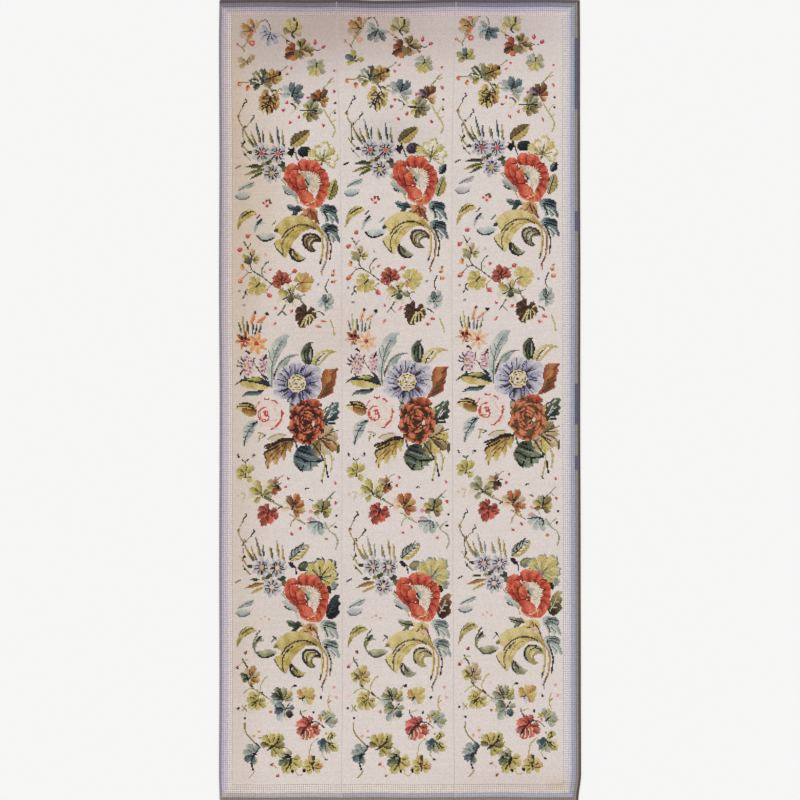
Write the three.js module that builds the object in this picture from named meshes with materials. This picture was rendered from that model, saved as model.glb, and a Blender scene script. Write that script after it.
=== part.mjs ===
// A needlepoint rug lying flat: three lengths of wool-stitched canvas sewn side by side.
// Millimetres. X runs across the rug, Y along it with the top end at +Y, and Z is up from the floor.
// The origin is the middle of the underside.
import * as THREE from "three";

// Driving dimensions
const rugWidth = 1715;
const rugLength = 3800;
const clothThickness = 4;
const hemRound = 1.1; // how far the folded edge of a strip is rounded back
const seamGap = 0.3; // between two strips, across their seam
const cornerRound = 12; // the outer corners are softened by this much

// The grid of each strip's face
const cellsAcross = 8;
const cellsAlong = 50;

// How the long edges and the two seams wander, measured at places down the rug from its top end.
// leftIn and rightIn are how far the outer edges lie inside the full width.
const longEdges = [
  { down: 0, leftIn: 2, firstSeam: -301, secondSeam: 266, rightIn: 6 },
  { down: 190, leftIn: 0, firstSeam: -299, secondSeam: 259, rightIn: 5 },
  { down: 760, leftIn: 2, firstSeam: -282, secondSeam: 247, rightIn: 5 },
  { down: 1330, leftIn: 0, firstSeam: -276, secondSeam: 246, rightIn: 3 },
  { down: 1950, leftIn: 3, firstSeam: -274, secondSeam: 249, rightIn: 4 },
  { down: 2600, leftIn: 1, firstSeam: -275, secondSeam: 251, rightIn: 2 },
  { down: 3250, leftIn: 2, firstSeam: -273, secondSeam: 254, rightIn: 1 },
  { down: 3680, leftIn: 0, firstSeam: -276, secondSeam: 258, rightIn: 0 },
  { down: 3800, leftIn: 3, firstSeam: -278, secondSeam: 260, rightIn: 13 },
];

// How the two ends wander, at places across the rug from its middle.
const endEdges = [
  { across: -858, topIn: 3, bottomIn: 2 },
  { across: -640, topIn: 0, bottomIn: 0 },
  { across: -430, topIn: 3, bottomIn: 3 },
  { across: -290, topIn: 1, bottomIn: 1 },
  { across: -110, topIn: 6, bottomIn: 3 },
  { across: 40, topIn: 5, bottomIn: 0 },
  { across: 250, topIn: 0, bottomIn: 2 },
  { across: 470, topIn: 2, bottomIn: 4 },
  { across: 690, topIn: 0, bottomIn: 1 },
  { across: 858, topIn: 4, bottomIn: 3 },
];

// Shallow puckers where the cloth stands off the floor: long low swells with a soft top.
// across and down place the middle, length runs along the swell, turn is its angle from the X axis in degrees.
const puckers = [
  { across: -60, down: 205, length: 640, width: 90, turn: 4, rise: 2.6 },
  { across: -560, down: 560, length: 520, width: 120, turn: -9, rise: 1.8 },
  { across: 520, down: 690, length: 480, width: 130, turn: 7, rise: 1.6 },
  { across: -300, down: 1180, length: 700, width: 80, turn: 87, rise: 2.2 },
  { across: 250, down: 1020, length: 620, width: 80, turn: 92, rise: 2.0 },
  { across: -40, down: 1640, length: 560, width: 120, turn: -5, rise: 1.7 },
  { across: 590, down: 1900, length: 460, width: 130, turn: 12, rise: 1.8 },
  { across: -620, down: 2130, length: 430, width: 120, turn: 6, rise: 1.9 },
  { across: 240, down: 2540, length: 660, width: 80, turn: 88, rise: 2.1 },
  { across: -290, down: 2900, length: 640, width: 80, turn: 93, rise: 1.9 },
  { across: 480, down: 3170, length: 420, width: 120, turn: -8, rise: 1.7 },
  { across: -170, down: 3520, length: 560, width: 100, turn: 3, rise: 2.0 },
];

// A smooth value between the rows of a table, read by the named column.
function between(table, key, column, at) {
  let row = 0;
  while (row < table.length - 2 && at > table[row + 1][key]) {
    row += 1;
  }
  const low = table[row];
  const high = table[row + 1];
  const share = THREE.MathUtils.smoothstep(at, low[key], high[key]);
  return THREE.MathUtils.lerp(low[column], high[column], share);
}

// The X of each long line of the rug at a distance down from the top end.
const longLines = {
  leftEdge: (down) => -rugWidth / 2 + between(longEdges, "down", "leftIn", down),
  firstSeam: (down) => between(longEdges, "down", "firstSeam", down),
  secondSeam: (down) => between(longEdges, "down", "secondSeam", down),
  rightEdge: (down) => rugWidth / 2 - between(longEdges, "down", "rightIn", down),
};

// How far a point near an outer corner is drawn in along the rug, which rounds the corner.
function cornerIn(across) {
  const fromSide = rugWidth / 2 - Math.abs(across);
  const inside = Math.max(0, cornerRound - fromSide);
  return (0.5 * inside * inside) / cornerRound;
}

function puckerRise(across, down) {
  let rise = 0;
  for (const pucker of puckers) {
    const turn = THREE.MathUtils.degToRad(pucker.turn);
    const dx = across - pucker.across;
    const dy = pucker.down - down;
    const alongSwell = (dx * Math.cos(turn) + dy * Math.sin(turn)) / (pucker.length / 2);
    const acrossSwell = (dy * Math.cos(turn) - dx * Math.sin(turn)) / (pucker.width / 2);
    rise += pucker.rise * Math.exp(-alongSwell * alongSwell - acrossSwell * acrossSwell);
  }
  return rise;
}

// A closed sheet between two long lines: a puckered face, a flat underside and a rounded edge all round.
// leftGap and rightGap pull it back from its neighbours at the seams.
function stripGeometry(leftLine, rightLine, leftGap, rightGap) {
  // One ring of the edge: how far it is drawn in from the outline, and its height.
  const rings = [
    { drawnIn: hemRound, height: () => 0 },
    { drawnIn: 0, height: () => hemRound },
    { drawnIn: 0, height: (rise) => clothThickness - hemRound + rise },
    { drawnIn: hemRound, height: (rise) => clothThickness + rise },
  ];

  // The plan position of a grid point, drawn in from the strip's outline by the given amount.
  function planPoint(column, row, drawnIn) {
    const share = column / cellsAcross;
    const shareDown = row / cellsAlong;
    const nominalDown = shareDown * rugLength;
    const low = leftLine(nominalDown) + leftGap + drawnIn;
    const high = rightLine(nominalDown) - rightGap - drawnIn;
    const across = THREE.MathUtils.lerp(low, high, share);
    const topIn = between(endEdges, "across", "topIn", across) + cornerIn(across) + drawnIn;
    const bottomIn = between(endEdges, "across", "bottomIn", across) + cornerIn(across) + drawnIn;
    const down = THREE.MathUtils.lerp(topIn, rugLength - bottomIn, shareDown);
    return { across, down };
  }

  const positions = [];
  function addVertex(point, height) {
    positions.push(point.across, rugLength / 2 - point.down, height);
    return positions.length / 3 - 1;
  }

  // Both faces are full grids; the underside stays level at the floor.
  function faceGrid(ring) {
    const grid = [];
    for (let row = 0; row <= cellsAlong; row += 1) {
      const line = [];
      for (let column = 0; column <= cellsAcross; column += 1) {
        const point = planPoint(column, row, ring.drawnIn);
        line.push(addVertex(point, ring.height(puckerRise(point.across, point.down))));
      }
      grid.push(line);
    }
    return grid;
  }

  // The grid points round the outline, counter-clockwise seen from above.
  const outline = [];
  for (let row = 0; row < cellsAlong; row += 1) {
    outline.push([0, row]);
  }
  for (let column = 0; column < cellsAcross; column += 1) {
    outline.push([column, cellsAlong]);
  }
  for (let row = cellsAlong; row > 0; row -= 1) {
    outline.push([cellsAcross, row]);
  }
  for (let column = cellsAcross; column > 0; column -= 1) {
    outline.push([column, 0]);
  }

  const underside = faceGrid(rings[0]);
  const face = faceGrid(rings[3]);
  const loops = [
    outline.map(([column, row]) => underside[row][column]),
    ...rings.slice(1, 3).map((ring) =>
      outline.map(([column, row]) => {
        const point = planPoint(column, row, ring.drawnIn);
        return addVertex(point, ring.height(puckerRise(point.across, point.down)));
      }),
    ),
    outline.map(([column, row]) => face[row][column]),
  ];

  const triangles = [];
  for (let row = 0; row < cellsAlong; row += 1) {
    for (let column = 0; column < cellsAcross; column += 1) {
      const [a, b] = [face[row][column], face[row][column + 1]];
      const [c, d] = [face[row + 1][column + 1], face[row + 1][column]];
      triangles.push(a, d, c, a, c, b);
      const [e, f] = [underside[row][column], underside[row][column + 1]];
      const [g, h] = [underside[row + 1][column + 1], underside[row + 1][column]];
      triangles.push(e, g, h, e, f, g);
    }
  }
  for (let ring = 0; ring < loops.length - 1; ring += 1) {
    for (let step = 0; step < outline.length; step += 1) {
      const next = (step + 1) % outline.length;
      const [a, b] = [loops[ring][step], loops[ring][next]];
      const [c, d] = [loops[ring + 1][next], loops[ring + 1][step]];
      triangles.push(a, b, c, a, c, d);
    }
  }

  const geometry = new THREE.BufferGeometry();
  geometry.setAttribute("position", new THREE.Float32BufferAttribute(positions, 3));
  geometry.setIndex(triangles);
  geometry.computeVertexNormals();
  return geometry;
}

// Faded cream wool carries most of each strip, so that is the plain colour here.
function stitchedWool(colour) {
  return new THREE.MeshStandardMaterial({ color: colour, roughness: 0.95, metalness: 0 });
}

const strips = [
  { name: "strip_left", left: "leftEdge", right: "firstSeam", colour: 0xd8c9bf },
  { name: "strip_centre", left: "firstSeam", right: "secondSeam", colour: 0xd9cdc6 },
  { name: "strip_right", left: "secondSeam", right: "rightEdge", colour: 0xdacec8 },
];

const rug = new THREE.Group();
rug.name = "needlepoint_rug";
for (const strip of strips) {
  const leftGap = strip.left.endsWith("Seam") ? seamGap / 2 : 0;
  const rightGap = strip.right.endsWith("Seam") ? seamGap / 2 : 0;
  const geometry = stripGeometry(longLines[strip.left], longLines[strip.right], leftGap, rightGap);
  const mesh = new THREE.Mesh(geometry, stitchedWool(strip.colour));
  mesh.name = strip.name;
  rug.add(mesh);
}

export default rug;
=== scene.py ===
from contextlib import contextmanager
import math

import bpy
import numpy as np
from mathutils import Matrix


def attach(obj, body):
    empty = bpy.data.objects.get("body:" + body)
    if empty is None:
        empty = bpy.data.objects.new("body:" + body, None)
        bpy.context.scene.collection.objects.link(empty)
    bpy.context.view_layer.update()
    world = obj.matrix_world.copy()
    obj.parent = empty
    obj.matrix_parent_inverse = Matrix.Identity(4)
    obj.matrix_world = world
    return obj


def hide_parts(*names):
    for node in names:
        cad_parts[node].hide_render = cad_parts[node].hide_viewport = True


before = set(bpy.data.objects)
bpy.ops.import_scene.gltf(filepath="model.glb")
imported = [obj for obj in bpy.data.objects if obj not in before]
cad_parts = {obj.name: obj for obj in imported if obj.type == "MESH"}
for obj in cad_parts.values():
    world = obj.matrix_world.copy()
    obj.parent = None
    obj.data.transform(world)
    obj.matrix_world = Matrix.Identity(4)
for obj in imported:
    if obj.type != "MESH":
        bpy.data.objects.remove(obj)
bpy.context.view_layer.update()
scene = bpy.context.scene
print("frame loaded")

# The rug's form, in metres. X runs across it, down is measured from its top end.
rugForm = {
    "width": 1.715,
    "length": 3.800,
    "thickness": 0.004,
    "hemRound": 0.0011,
    "seamGap": 0.0003,
    "cornerRound": 0.012,
    "rows": 720,
    "columns": {"strip_left": 116, "strip_centre": 105, "strip_right": 120},
}

# down, left edge inwards, first seam, second seam, right edge inwards (mm)
longEdges = [
    (0, 2, -301, 266, 6),
    (190, 0, -299, 259, 5),
    (760, 2, -282, 247, 5),
    (1330, 0, -276, 246, 3),
    (1950, 3, -274, 249, 4),
    (2600, 1, -275, 251, 2),
    (3250, 2, -273, 254, 1),
    (3680, 0, -276, 258, 0),
    (3800, 3, -278, 260, 13),
]

# across, top end inwards, bottom end inwards (mm)
endEdges = [
    (-858, 3, 2),
    (-640, 0, 0),
    (-430, 3, 3),
    (-290, 1, 1),
    (-110, 6, 3),
    (40, 5, 0),
    (250, 0, 2),
    (470, 2, 4),
    (690, 0, 1),
    (858, 4, 3),
]

# across, down, length, width (mm), turn (degrees), rise (mm)
puckers = [
    (-60, 205, 640, 90, 4, 2.6),
    (-560, 560, 520, 120, -9, 1.8),
    (520, 690, 480, 130, 7, 1.6),
    (-300, 1180, 700, 80, 87, 2.2),
    (250, 1020, 620, 80, 92, 2.0),
    (-40, 1640, 560, 120, -5, 1.7),
    (590, 1900, 460, 130, 12, 1.8),
    (-620, 2130, 430, 120, 6, 1.9),
    (240, 2540, 660, 80, 88, 2.1),
    (-290, 2900, 640, 80, 93, 1.9),
    (480, 3170, 420, 120, -8, 1.7),
    (-170, 3520, 560, 100, 3, 2.0),
]


def betweenRows(table, column, at):
    # A smooth value between the rows of a table, as the CAD reads it
    rows = np.array(table, float)
    low = np.clip(np.searchsorted(rows[:, 0], at) - 1, 0, len(rows) - 2)
    share = np.clip((at - rows[low, 0]) / (rows[low + 1, 0] - rows[low, 0]), 0, 1)
    share = share * share * (3 - 2 * share)
    return rows[low, column] + (rows[low + 1, column] - rows[low, column]) * share


def longLine(strip, side, down):
    half = rugForm["width"] / 2
    if strip + side == 0:
        return -half + betweenRows(longEdges, 1, down * 1000) / 1000
    if strip + side == 3:
        return half - betweenRows(longEdges, 4, down * 1000) / 1000
    return betweenRows(longEdges, 1 + strip + side, down * 1000) / 1000


def puckerRise(across, down):
    rise = np.zeros(across.shape)
    for middle, along, length, width, turn, height in puckers:
        angle = math.radians(turn)
        dx = across - middle / 1000
        dy = along / 1000 - down
        alongSwell = (dx * math.cos(angle) + dy * math.sin(angle)) / (length / 2000)
        acrossSwell = (dy * math.cos(angle) - dx * math.sin(angle)) / (width / 2000)
        rise += height / 1000 * np.exp(-alongSwell**2 - acrossSwell**2)
    return rise


def planPoint(strip, shareAcross, shareDown, drawnIn):
    # Where a point of a strip lies: X, and how far down the rug from its top end
    nominal = shareDown * rugForm["length"]
    gaps = [rugForm["seamGap"] / 2 if seam else 0 for seam in (strip > 0, strip < 2)]
    low = longLine(strip, 0, nominal) + gaps[0] + drawnIn
    high = longLine(strip, 1, nominal) - gaps[1] - drawnIn
    across = low + (high - low) * shareAcross
    inside = np.maximum(0, rugForm["cornerRound"] - rugForm["width"] / 2 + np.abs(across))
    corner = 0.5 * inside**2 / rugForm["cornerRound"] + drawnIn
    topIn = betweenRows(endEdges, 1, across * 1000) / 1000 + corner
    bottomIn = betweenRows(endEdges, 2, across * 1000) / 1000 + corner
    down = topIn + (rugForm["length"] - bottomIn - topIn) * shareDown
    return across, down


# The chart is laid out in plan steps, counted from the left end of the top edge.
planForm = {
    "step": 0.60587e-3,  # metres; about 8.3 across a stitch and 8.7 along it
    "leftEnd": -0.9001,  # X of plan x = 0
    "photoStep": 7.84,  # plan steps to one pixel of the photo
    "photoLeft": 210,  # pixel of the photo at plan x = 0
    "seed": 41,
    "slack": 60,  # how far a window on the chart reaches past its motif
    "pathSteps": 7,  # short lines to one length of a smooth outline
    "fineLine": 4.4,  # half of a line one stitch wide
    "foldLine": 5.4,  # half of a dark fold between petals or lobes
    "tiny": 1e-9,
}

# The chart of the strip in hand. Motifs are drawn in its plan steps, and points are written x,y.
chart = {}

# Yarn shades, darkest first, as the worn wool looks under plain light (sRGB, 0 to 255)
yarnShades = {
    "lime": [(84, 78, 44), (140, 126, 68), (178, 163, 94), (206, 194, 138)],
    "scroll": [(106, 88, 48), (162, 138, 76), (192, 169, 100), (212, 194, 140)],
    "olive": [(52, 46, 32), (92, 80, 50), (132, 114, 74), (176, 160, 114)],
    "sage": [(76, 78, 60), (116, 114, 86), (150, 146, 114), (188, 180, 150)],
    "bottle": [(34, 38, 34), (58, 64, 50), (92, 98, 76), (140, 146, 118)],
    "teal": [(34, 42, 46), (60, 74, 78), (98, 112, 113), (148, 157, 153)],
    "mist": [(94, 104, 102), (130, 138, 134), (162, 166, 157), (192, 191, 180)],
    "ice": [(112, 126, 130), (150, 161, 161), (180, 184, 177), (202, 201, 192)],
    "navy": [(26, 26, 30), (40, 42, 48), (62, 68, 74), (104, 110, 112)],
    "coral": [(104, 38, 28), (160, 62, 46), (194, 84, 64), (214, 122, 94)],
    "salmon": [(136, 52, 44), (186, 80, 66), (204, 102, 84), (222, 142, 120)],
    "brick": [(84, 40, 34), (134, 62, 50), (162, 80, 66), (190, 118, 98)],
    "rust": [(82, 48, 34), (128, 70, 42), (160, 94, 58), (196, 142, 98)],
    "brown": [(50, 36, 32), (78, 52, 40), (116, 80, 58), (158, 122, 92)],
    "tan": [(116, 94, 68), (158, 132, 100), (186, 162, 128), (206, 188, 158)],
    "amber": [(80, 54, 34), (138, 98, 54), (174, 132, 78), (202, 168, 116)],
    "blue": [(54, 52, 84), (104, 102, 144), (152, 150, 184), (190, 188, 208)],
    "lilac": [(80, 76, 98), (138, 134, 150), (177, 172, 182), (206, 200, 203)],
    "mauve": [(134, 92, 104), (190, 148, 154), (212, 180, 182), (224, 202, 200)],
    "orange": [(146, 74, 46), (200, 118, 72), (222, 156, 104), (230, 194, 148)],
    "red": [(140, 40, 44), (184, 64, 66), (204, 100, 94), (224, 156, 144)],
    "pink": [(192, 96, 108), (212, 136, 142), (224, 172, 172), (230, 200, 196)],
    "cream": [(176, 158, 132), (204, 188, 164), (218, 206, 186), (230, 220, 204)],
    "peach": [(190, 138, 104), (212, 168, 136), (222, 190, 162), (226, 206, 184)],
    "plum": [(44, 34, 42), (76, 60, 70), (120, 104, 114), (170, 156, 164)],
    "ember": [(70, 34, 28), (128, 58, 42), (176, 86, 60), (206, 126, 92)],
    "blush": [(196, 148, 136), (212, 180, 168), (221, 203, 194), (228, 214, 206)],
    "petal": [(122, 116, 120), (172, 165, 168), (198, 191, 189), (216, 208, 202)],
}


def shadeOf(name):
    return np.array(yarnShades[name[:-1]][int(name[-1])], float)


def pick(*choices):
    # Each strip was worked with its own yarns; the last choice goes on to the strips that follow
    return choices[min(chart["strip"], len(choices) - 1)]


@contextmanager
def moved(right=0.0, down=0.0):
    # What is worked inside such a block lies further right and down
    kept = dict(chart)
    chart.update(x=chart["x"] - right, y=chart["y"] - down)
    chart.update(colX=chart["colX"] - right, rowY=chart["rowY"] - down)
    yield
    chart.update(kept)


def windowOf(x, y, reach):
    near = reach + planForm["slack"]
    rows = np.searchsorted(chart["rowY"], (y - near, y + near))
    cols = np.searchsorted(chart["colX"], (x - near, x + near))
    part = (slice(rows[0], rows[1]), slice(cols[0], cols[1]))
    return part, chart["x"][part] - x, chart["y"][part] - y


def turned(dx, dy, turn):
    # turn is where the tip points, in degrees clockwise from the top end of the rug
    angle = math.radians(turn)
    along = dx * math.sin(angle) - dy * math.cos(angle)
    side = dx * math.cos(angle) + dy * math.sin(angle)
    return along, side


def blend(tones, share):
    return tones[0] + (tones[1] - tones[0]) * share


def lay(part, mask, shade):
    view = chart["wool"][part]
    view[mask] = shadeOf(shade)
    chart["worked"][part] |= mask


def laySteps(part, mask, yarn, tone, jitter=0.22):
    # tone runs from 0, darkest, to 1, lightest, in half steps, as the needle blends neighbouring shades
    steps = np.clip((tone + jitter * (chart["grain"][part] - 0.5)) * 3, 0, 3)
    steps = np.round(steps * 2) / 2
    shades = np.array(yarnShades[yarn], float)
    low = np.clip(np.floor(steps).astype(int), 0, 2)
    colours = shades[low] + (shades[low + 1] - shades[low]) * (steps - low)[..., None]
    view = chart["wool"][part]
    view[mask] = colours[mask]
    chart["worked"][part] |= mask


def smoothPath(points, closed):
    # points runs x, y, x, y; a smooth line goes through them all
    knots = np.array(points, float).reshape(-1, 2)
    if closed:
        knots = np.vstack([knots[-1:], knots, knots[:2]])
    else:
        knots = np.vstack([2 * knots[:1] - knots[1:2], knots, 2 * knots[-1:] - knots[-2:-1]])
    t = np.linspace(0, 1, planForm["pathSteps"], endpoint=False)[:, None]
    pieces = []
    for a, b, c, d in zip(knots[:-3], knots[1:-2], knots[2:-1], knots[3:]):
        bend = (2 * a - 5 * b + 4 * c - d) * t**2 + (3 * b - a - 3 * c + d) * t**3
        pieces.append(0.5 * (2 * b + (c - a) * t + bend))
    if not closed:
        pieces.append(knots[-2:-1])
    return np.vstack(pieces)


def stem(shade, wide, *points, taper=0.0):
    path = smoothPath(points, closed=False)
    middle = (path.max(axis=0) + path.min(axis=0)) / 2
    reach = np.ptp(path, axis=0).max() / 2 + wide
    part, dx, dy = windowOf(middle[0], middle[1], reach)
    path = path - middle
    nearest = np.full(dx.shape, np.inf)
    limit = np.zeros(dx.shape)
    for step, (a, b) in enumerate(zip(path[:-1], path[1:])):
        way = b - a
        share = ((dx - a[0]) * way[0] + (dy - a[1]) * way[1]) / max(way @ way, planForm["tiny"])
        share = np.clip(share, 0, 1)
        far = np.hypot(dx - a[0] - share * way[0], dy - a[1] - share * way[1])
        closer = far < nearest
        nearest[closer] = far[closer]
        limit[closer] = wide / 2 * (1 - taper * step / len(path))
    lay(part, nearest < limit, shade)


def stems(*rows):
    for shade, wide, *points in rows:
        stem(shade, wide, *points)


def strands(shade, wide, *lines, taper=0.0):
    for points in lines:
        stem(shade, wide, *points, taper=taper)


def outlined(points):
    path = smoothPath(points, closed=True)
    middle = (path.max(axis=0) + path.min(axis=0)) / 2
    part, dx, dy = windowOf(middle[0], middle[1], np.ptp(path, axis=0).max() / 2)
    path = path - middle
    mask = np.zeros(dx.shape, bool)
    for a, b in zip(path, np.roll(path, -1, axis=0)):
        crosses = (a[1] > dy) != (b[1] > dy)
        rise = b[1] - a[1]
        rise = rise if abs(rise) > planForm["tiny"] else planForm["tiny"]
        mask ^= crosses & (dx < a[0] + (dy - a[1]) * (b[0] - a[0]) / rise)
    return part, mask, dx, dy


def patch(shade, *points):
    part, mask, dx, dy = outlined(points)
    lay(part, mask, shade)


def shadedPatch(yarn, tones, *points, lit=(-0.5, -0.8), stripes=0.0, waves=0.0):
    # tones: on the far side and on the side that lit points to
    part, mask, dx, dy = outlined(points)
    if not mask.any():
        return
    slope = dx * lit[0] + dy * lit[1]
    across = dx * lit[1] - dy * lit[0]
    span = np.ptp(slope[mask]) or 1.0
    tone = tones[0] + (tones[1] - tones[0]) * (slope - slope[mask].min()) / span
    if waves:
        tone = tone + 0.16 * np.sin(across / waves)
    if stripes:
        tone = tone - 0.30 * ((across / stripes) % 1 < 0.35)
    laySteps(part, mask, yarn, tone)


def vineLeaf(x, y, turn, reach, yarns, vein, lobeArc, tones, midrib, ribs="between", squash=1.0,
        lobes=None):
    # A lobed leaf worked round its stalk at x, y. The yarns share the lobes from left to right.
    # lobeArc: degrees that the lobes span, and how deep they are cut; tones: darkest, lightest
    # midrib: its start and end along the leaf, and its width. ribs: where the dark stitches lie.
    yarns = yarns.split()
    lobes = lobes or len(yarns)
    spread, cut = lobeArc
    part, dx, dy = windowOf(x, y, reach * 1.1)
    along, side = turned(dx, dy, turn)
    side = side / squash
    far = np.hypot(along, side)
    angle = np.degrees(np.arctan2(side, along))
    pitch = np.clip((angle / spread + 0.5) * lobes, 0, lobes - 1e-6)
    which = np.floor(pitch).astype(int)
    local = 2 * (pitch - which) - 1
    uneven = np.array([0.97, 1.04, 0.92, 1.06, 0.95, 1.02, 0.98, 1.05])[(which + int(x)) % 8]
    length = reach * uneven * (1 - 0.42 * (np.abs(angle) / 180) ** 1.3)
    limit = length * (1 - 0.75 * cut * np.abs(local) ** 3.0)
    limit = limit * (1.03 - 0.10 * ((pitch * 2.5 + 0.3) % 1))
    limit = np.where(np.abs(angle) > spread / 2, 0.14 * reach, limit)
    inside = far < limit
    ratio = far / np.maximum(limit, 1e-6)
    swell = 0.52 - 0.50 * local + 0.45 * (ratio - 0.55) + 0.10 * np.cos(angle * 0.11 + x)
    tone = blend(tones, swell)
    share = which * len(yarns) // lobes
    for number, yarn in enumerate(yarns):
        laySteps(part, inside & (share == number), yarn, tone)
    halfLobe = np.radians(spread / lobes) / 2 * far
    if ribs == "between":
        fold = (1 - np.abs(local)) * halfLobe < planForm["foldLine"] * (1.2 - 0.45 * ratio)
        fold &= inside & (ratio > 0.30) & (ratio < 0.80) & (np.abs(angle) < spread / 2 - 12)
        for number, yarn in enumerate(yarns):
            lay(part, fold & (share == number), yarn + "0")
    if ribs == "along":
        lay(part, inside & (np.abs(local) * halfLobe < 4.6) & (ratio < 0.66), vein[:-1] + "1")
    start, end, thick = midrib
    lay(part, (np.abs(side) < thick / 2) & (along > start * reach) & (along < end * reach), vein)


def leaf(x, y, length, width, turn, yarn, vein, other, teeth, low=0.30, high=0.70):
    # A long leaf with a toothed edge, ribs and a midrib; its right half is in the other yarn
    part, dx, dy = windowOf(x, y, length * 0.62)
    along, side = turned(dx, dy, turn)
    share = along / length + 0.5
    inLength = (share > 0) & (share < 1)
    shareIn = np.clip(share, 0, 1)
    half = width / 2 * np.sin(math.pi * shareIn**0.82) ** 0.75
    half = half * (1 - 0.20 * ((shareIn * teeth) % 1))
    inside = inLength & (np.abs(side) < half)
    shadow = side > 0
    tone = np.where(shadow, low, high) - np.where(shadow & (np.abs(side) > 0.78 * half), 0.2, 0.0)
    rib = (shareIn * teeth - np.abs(side) / width * 1.6) % 1
    tone = tone - np.where(rib < 0.34, 0.26, 0.0)
    laySteps(part, inside & ~shadow, yarn, tone)
    laySteps(part, inside & shadow, other, tone)
    lay(part, inLength & (np.abs(side) < planForm["fineLine"]) & (share < 0.86), vein)


def foldedPatch(yarn, tones, folds, root, *points, creases=None, jitter=0.30):
    # A petal that fans out from root in soft folds, darkest where it starts
    part, mask, dx, dy = outlined(points)
    if not mask.any():
        return
    dx, dy = chart["x"][part] - root[0], chart["y"][part] - root[1]
    far, around = np.hypot(dx, dy), np.arctan2(dy, dx)
    share = np.clip((far - far[mask].min()) / max(np.ptp(far[mask]), 1.0), 0, 1)
    fold = np.cos(around * folds + 1.4 * np.sin(share * 4))
    tone = blend(tones, share**0.8) + 0.17 * fold
    laySteps(part, mask, yarn, tone, jitter=jitter)
    if creases:
        lay(part, mask & (fold < -0.96) & (share > 0.10) & (share < 0.60), creases)


def puff(x, y, length, width, turn, yarn, tones, crease=None):
    # A rounded petal: bright towards its outer edge, which turn points at, and shaded where it tucks in
    part, dx, dy = windowOf(x, y, max(length, width) * 0.62)
    along, side = turned(dx, dy, turn)
    along, side = along / (length / 2), side / (width / 2)
    around = np.arctan2(side, along)
    out = np.hypot(along, side) * (1 + 0.05 * np.cos(around * 5 + x))
    if crease:
        lay(part, (out < 1.12) & (out > 0.92) & (along < 0.35), crease)
    tone = blend(tones, 0.50 + 0.50 * along) + 0.15 * np.cos(side * 2 * math.pi + 0.6)
    tone = tone - np.where((out > 0.84) & (along < 0.2), 0.25, 0.0)
    laySteps(part, out < 1, yarn, tone, jitter=0.30)


def finger(x, y, length, width, turn, yarn, tones, dark=None, bend=0.0):
    # A narrow petal, blade or lobe that starts at x, y and points along turn
    lean = math.radians(turn)
    middleX, middleY = x + length / 2 * math.sin(lean), y - length / 2 * math.cos(lean)
    part, dx, dy = windowOf(middleX, middleY, length * 0.6 + width / 2 + abs(bend))
    along, side = turned(dx, dy, turn)
    share = along / length + 0.5
    side = side - bend * np.clip(share, 0, 1) ** 2
    inLength = (share > 0) & (share < 1)
    half = width / 2 * np.sin(math.pi * np.clip(share, 0, 1) ** 0.8) ** 0.7
    inside = inLength & (np.abs(side) < np.maximum(half, 4.3))
    tone = blend(tones, 0.5 - 0.5 * side / np.maximum(half, 4))
    laySteps(part, inside, yarn, tone)
    if dark:
        lay(part, inside & (np.abs(side) < planForm["fineLine"]) & (share < 0.62), dark)


def bud(x, y, length, width, turn, yarn, cap=None):
    part, dx, dy = windowOf(x, y, length)
    along, side = turned(dx, dy, turn)
    share = along / length + 0.5
    half = width / 2 * np.sin(math.pi * np.clip(share, 0, 1) ** 0.8)
    inside = (share > 0) & (share < 1) & (np.abs(side) < half)
    laySteps(part, inside, yarn, 0.35 + 0.45 * (side < 0))
    if cap:
        lay(part, inside & (share < 0.3), cap)


def spot(x, y, across, shade):
    part, dx, dy = windowOf(x, y, across)
    lay(part, np.hypot(dx, dy) < across / 2, shade)


def spots(across, shade, *places):
    for x, y in np.reshape(places, (-1, 2)):
        spot(x, y, across, shade)


def daisy(x, y, radius, yarn, heart, dash, turn):
    petals = 9
    part, dx, dy = windowOf(x, y, radius)
    angle = np.arctan2(dy, dx) + turn
    far = np.hypot(dx, dy) / radius
    place = angle * petals / (2 * math.pi)
    local = 2 * (place - np.floor(place)) - 1
    odd = np.floor(place).astype(int) % 3
    inside = far < 1.0 - 0.34 * np.abs(local) ** 2.2 - 0.06 * odd
    laySteps(part, inside, yarn, 0.50 - 0.30 * local + 0.25 * (far - 0.5))
    between = (1 - np.abs(local)) * math.pi / petals * far * radius < planForm["foldLine"]
    lay(part, inside & between & (far > 0.24) & (far < 0.62 + 0.10 * odd), dash)
    lay(part, inside & (np.abs(local) < 0.20) & (far > 0.40) & (far < 0.58) & (odd == 1), dash)
    lay(part, far < 0.21, heart)


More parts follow.
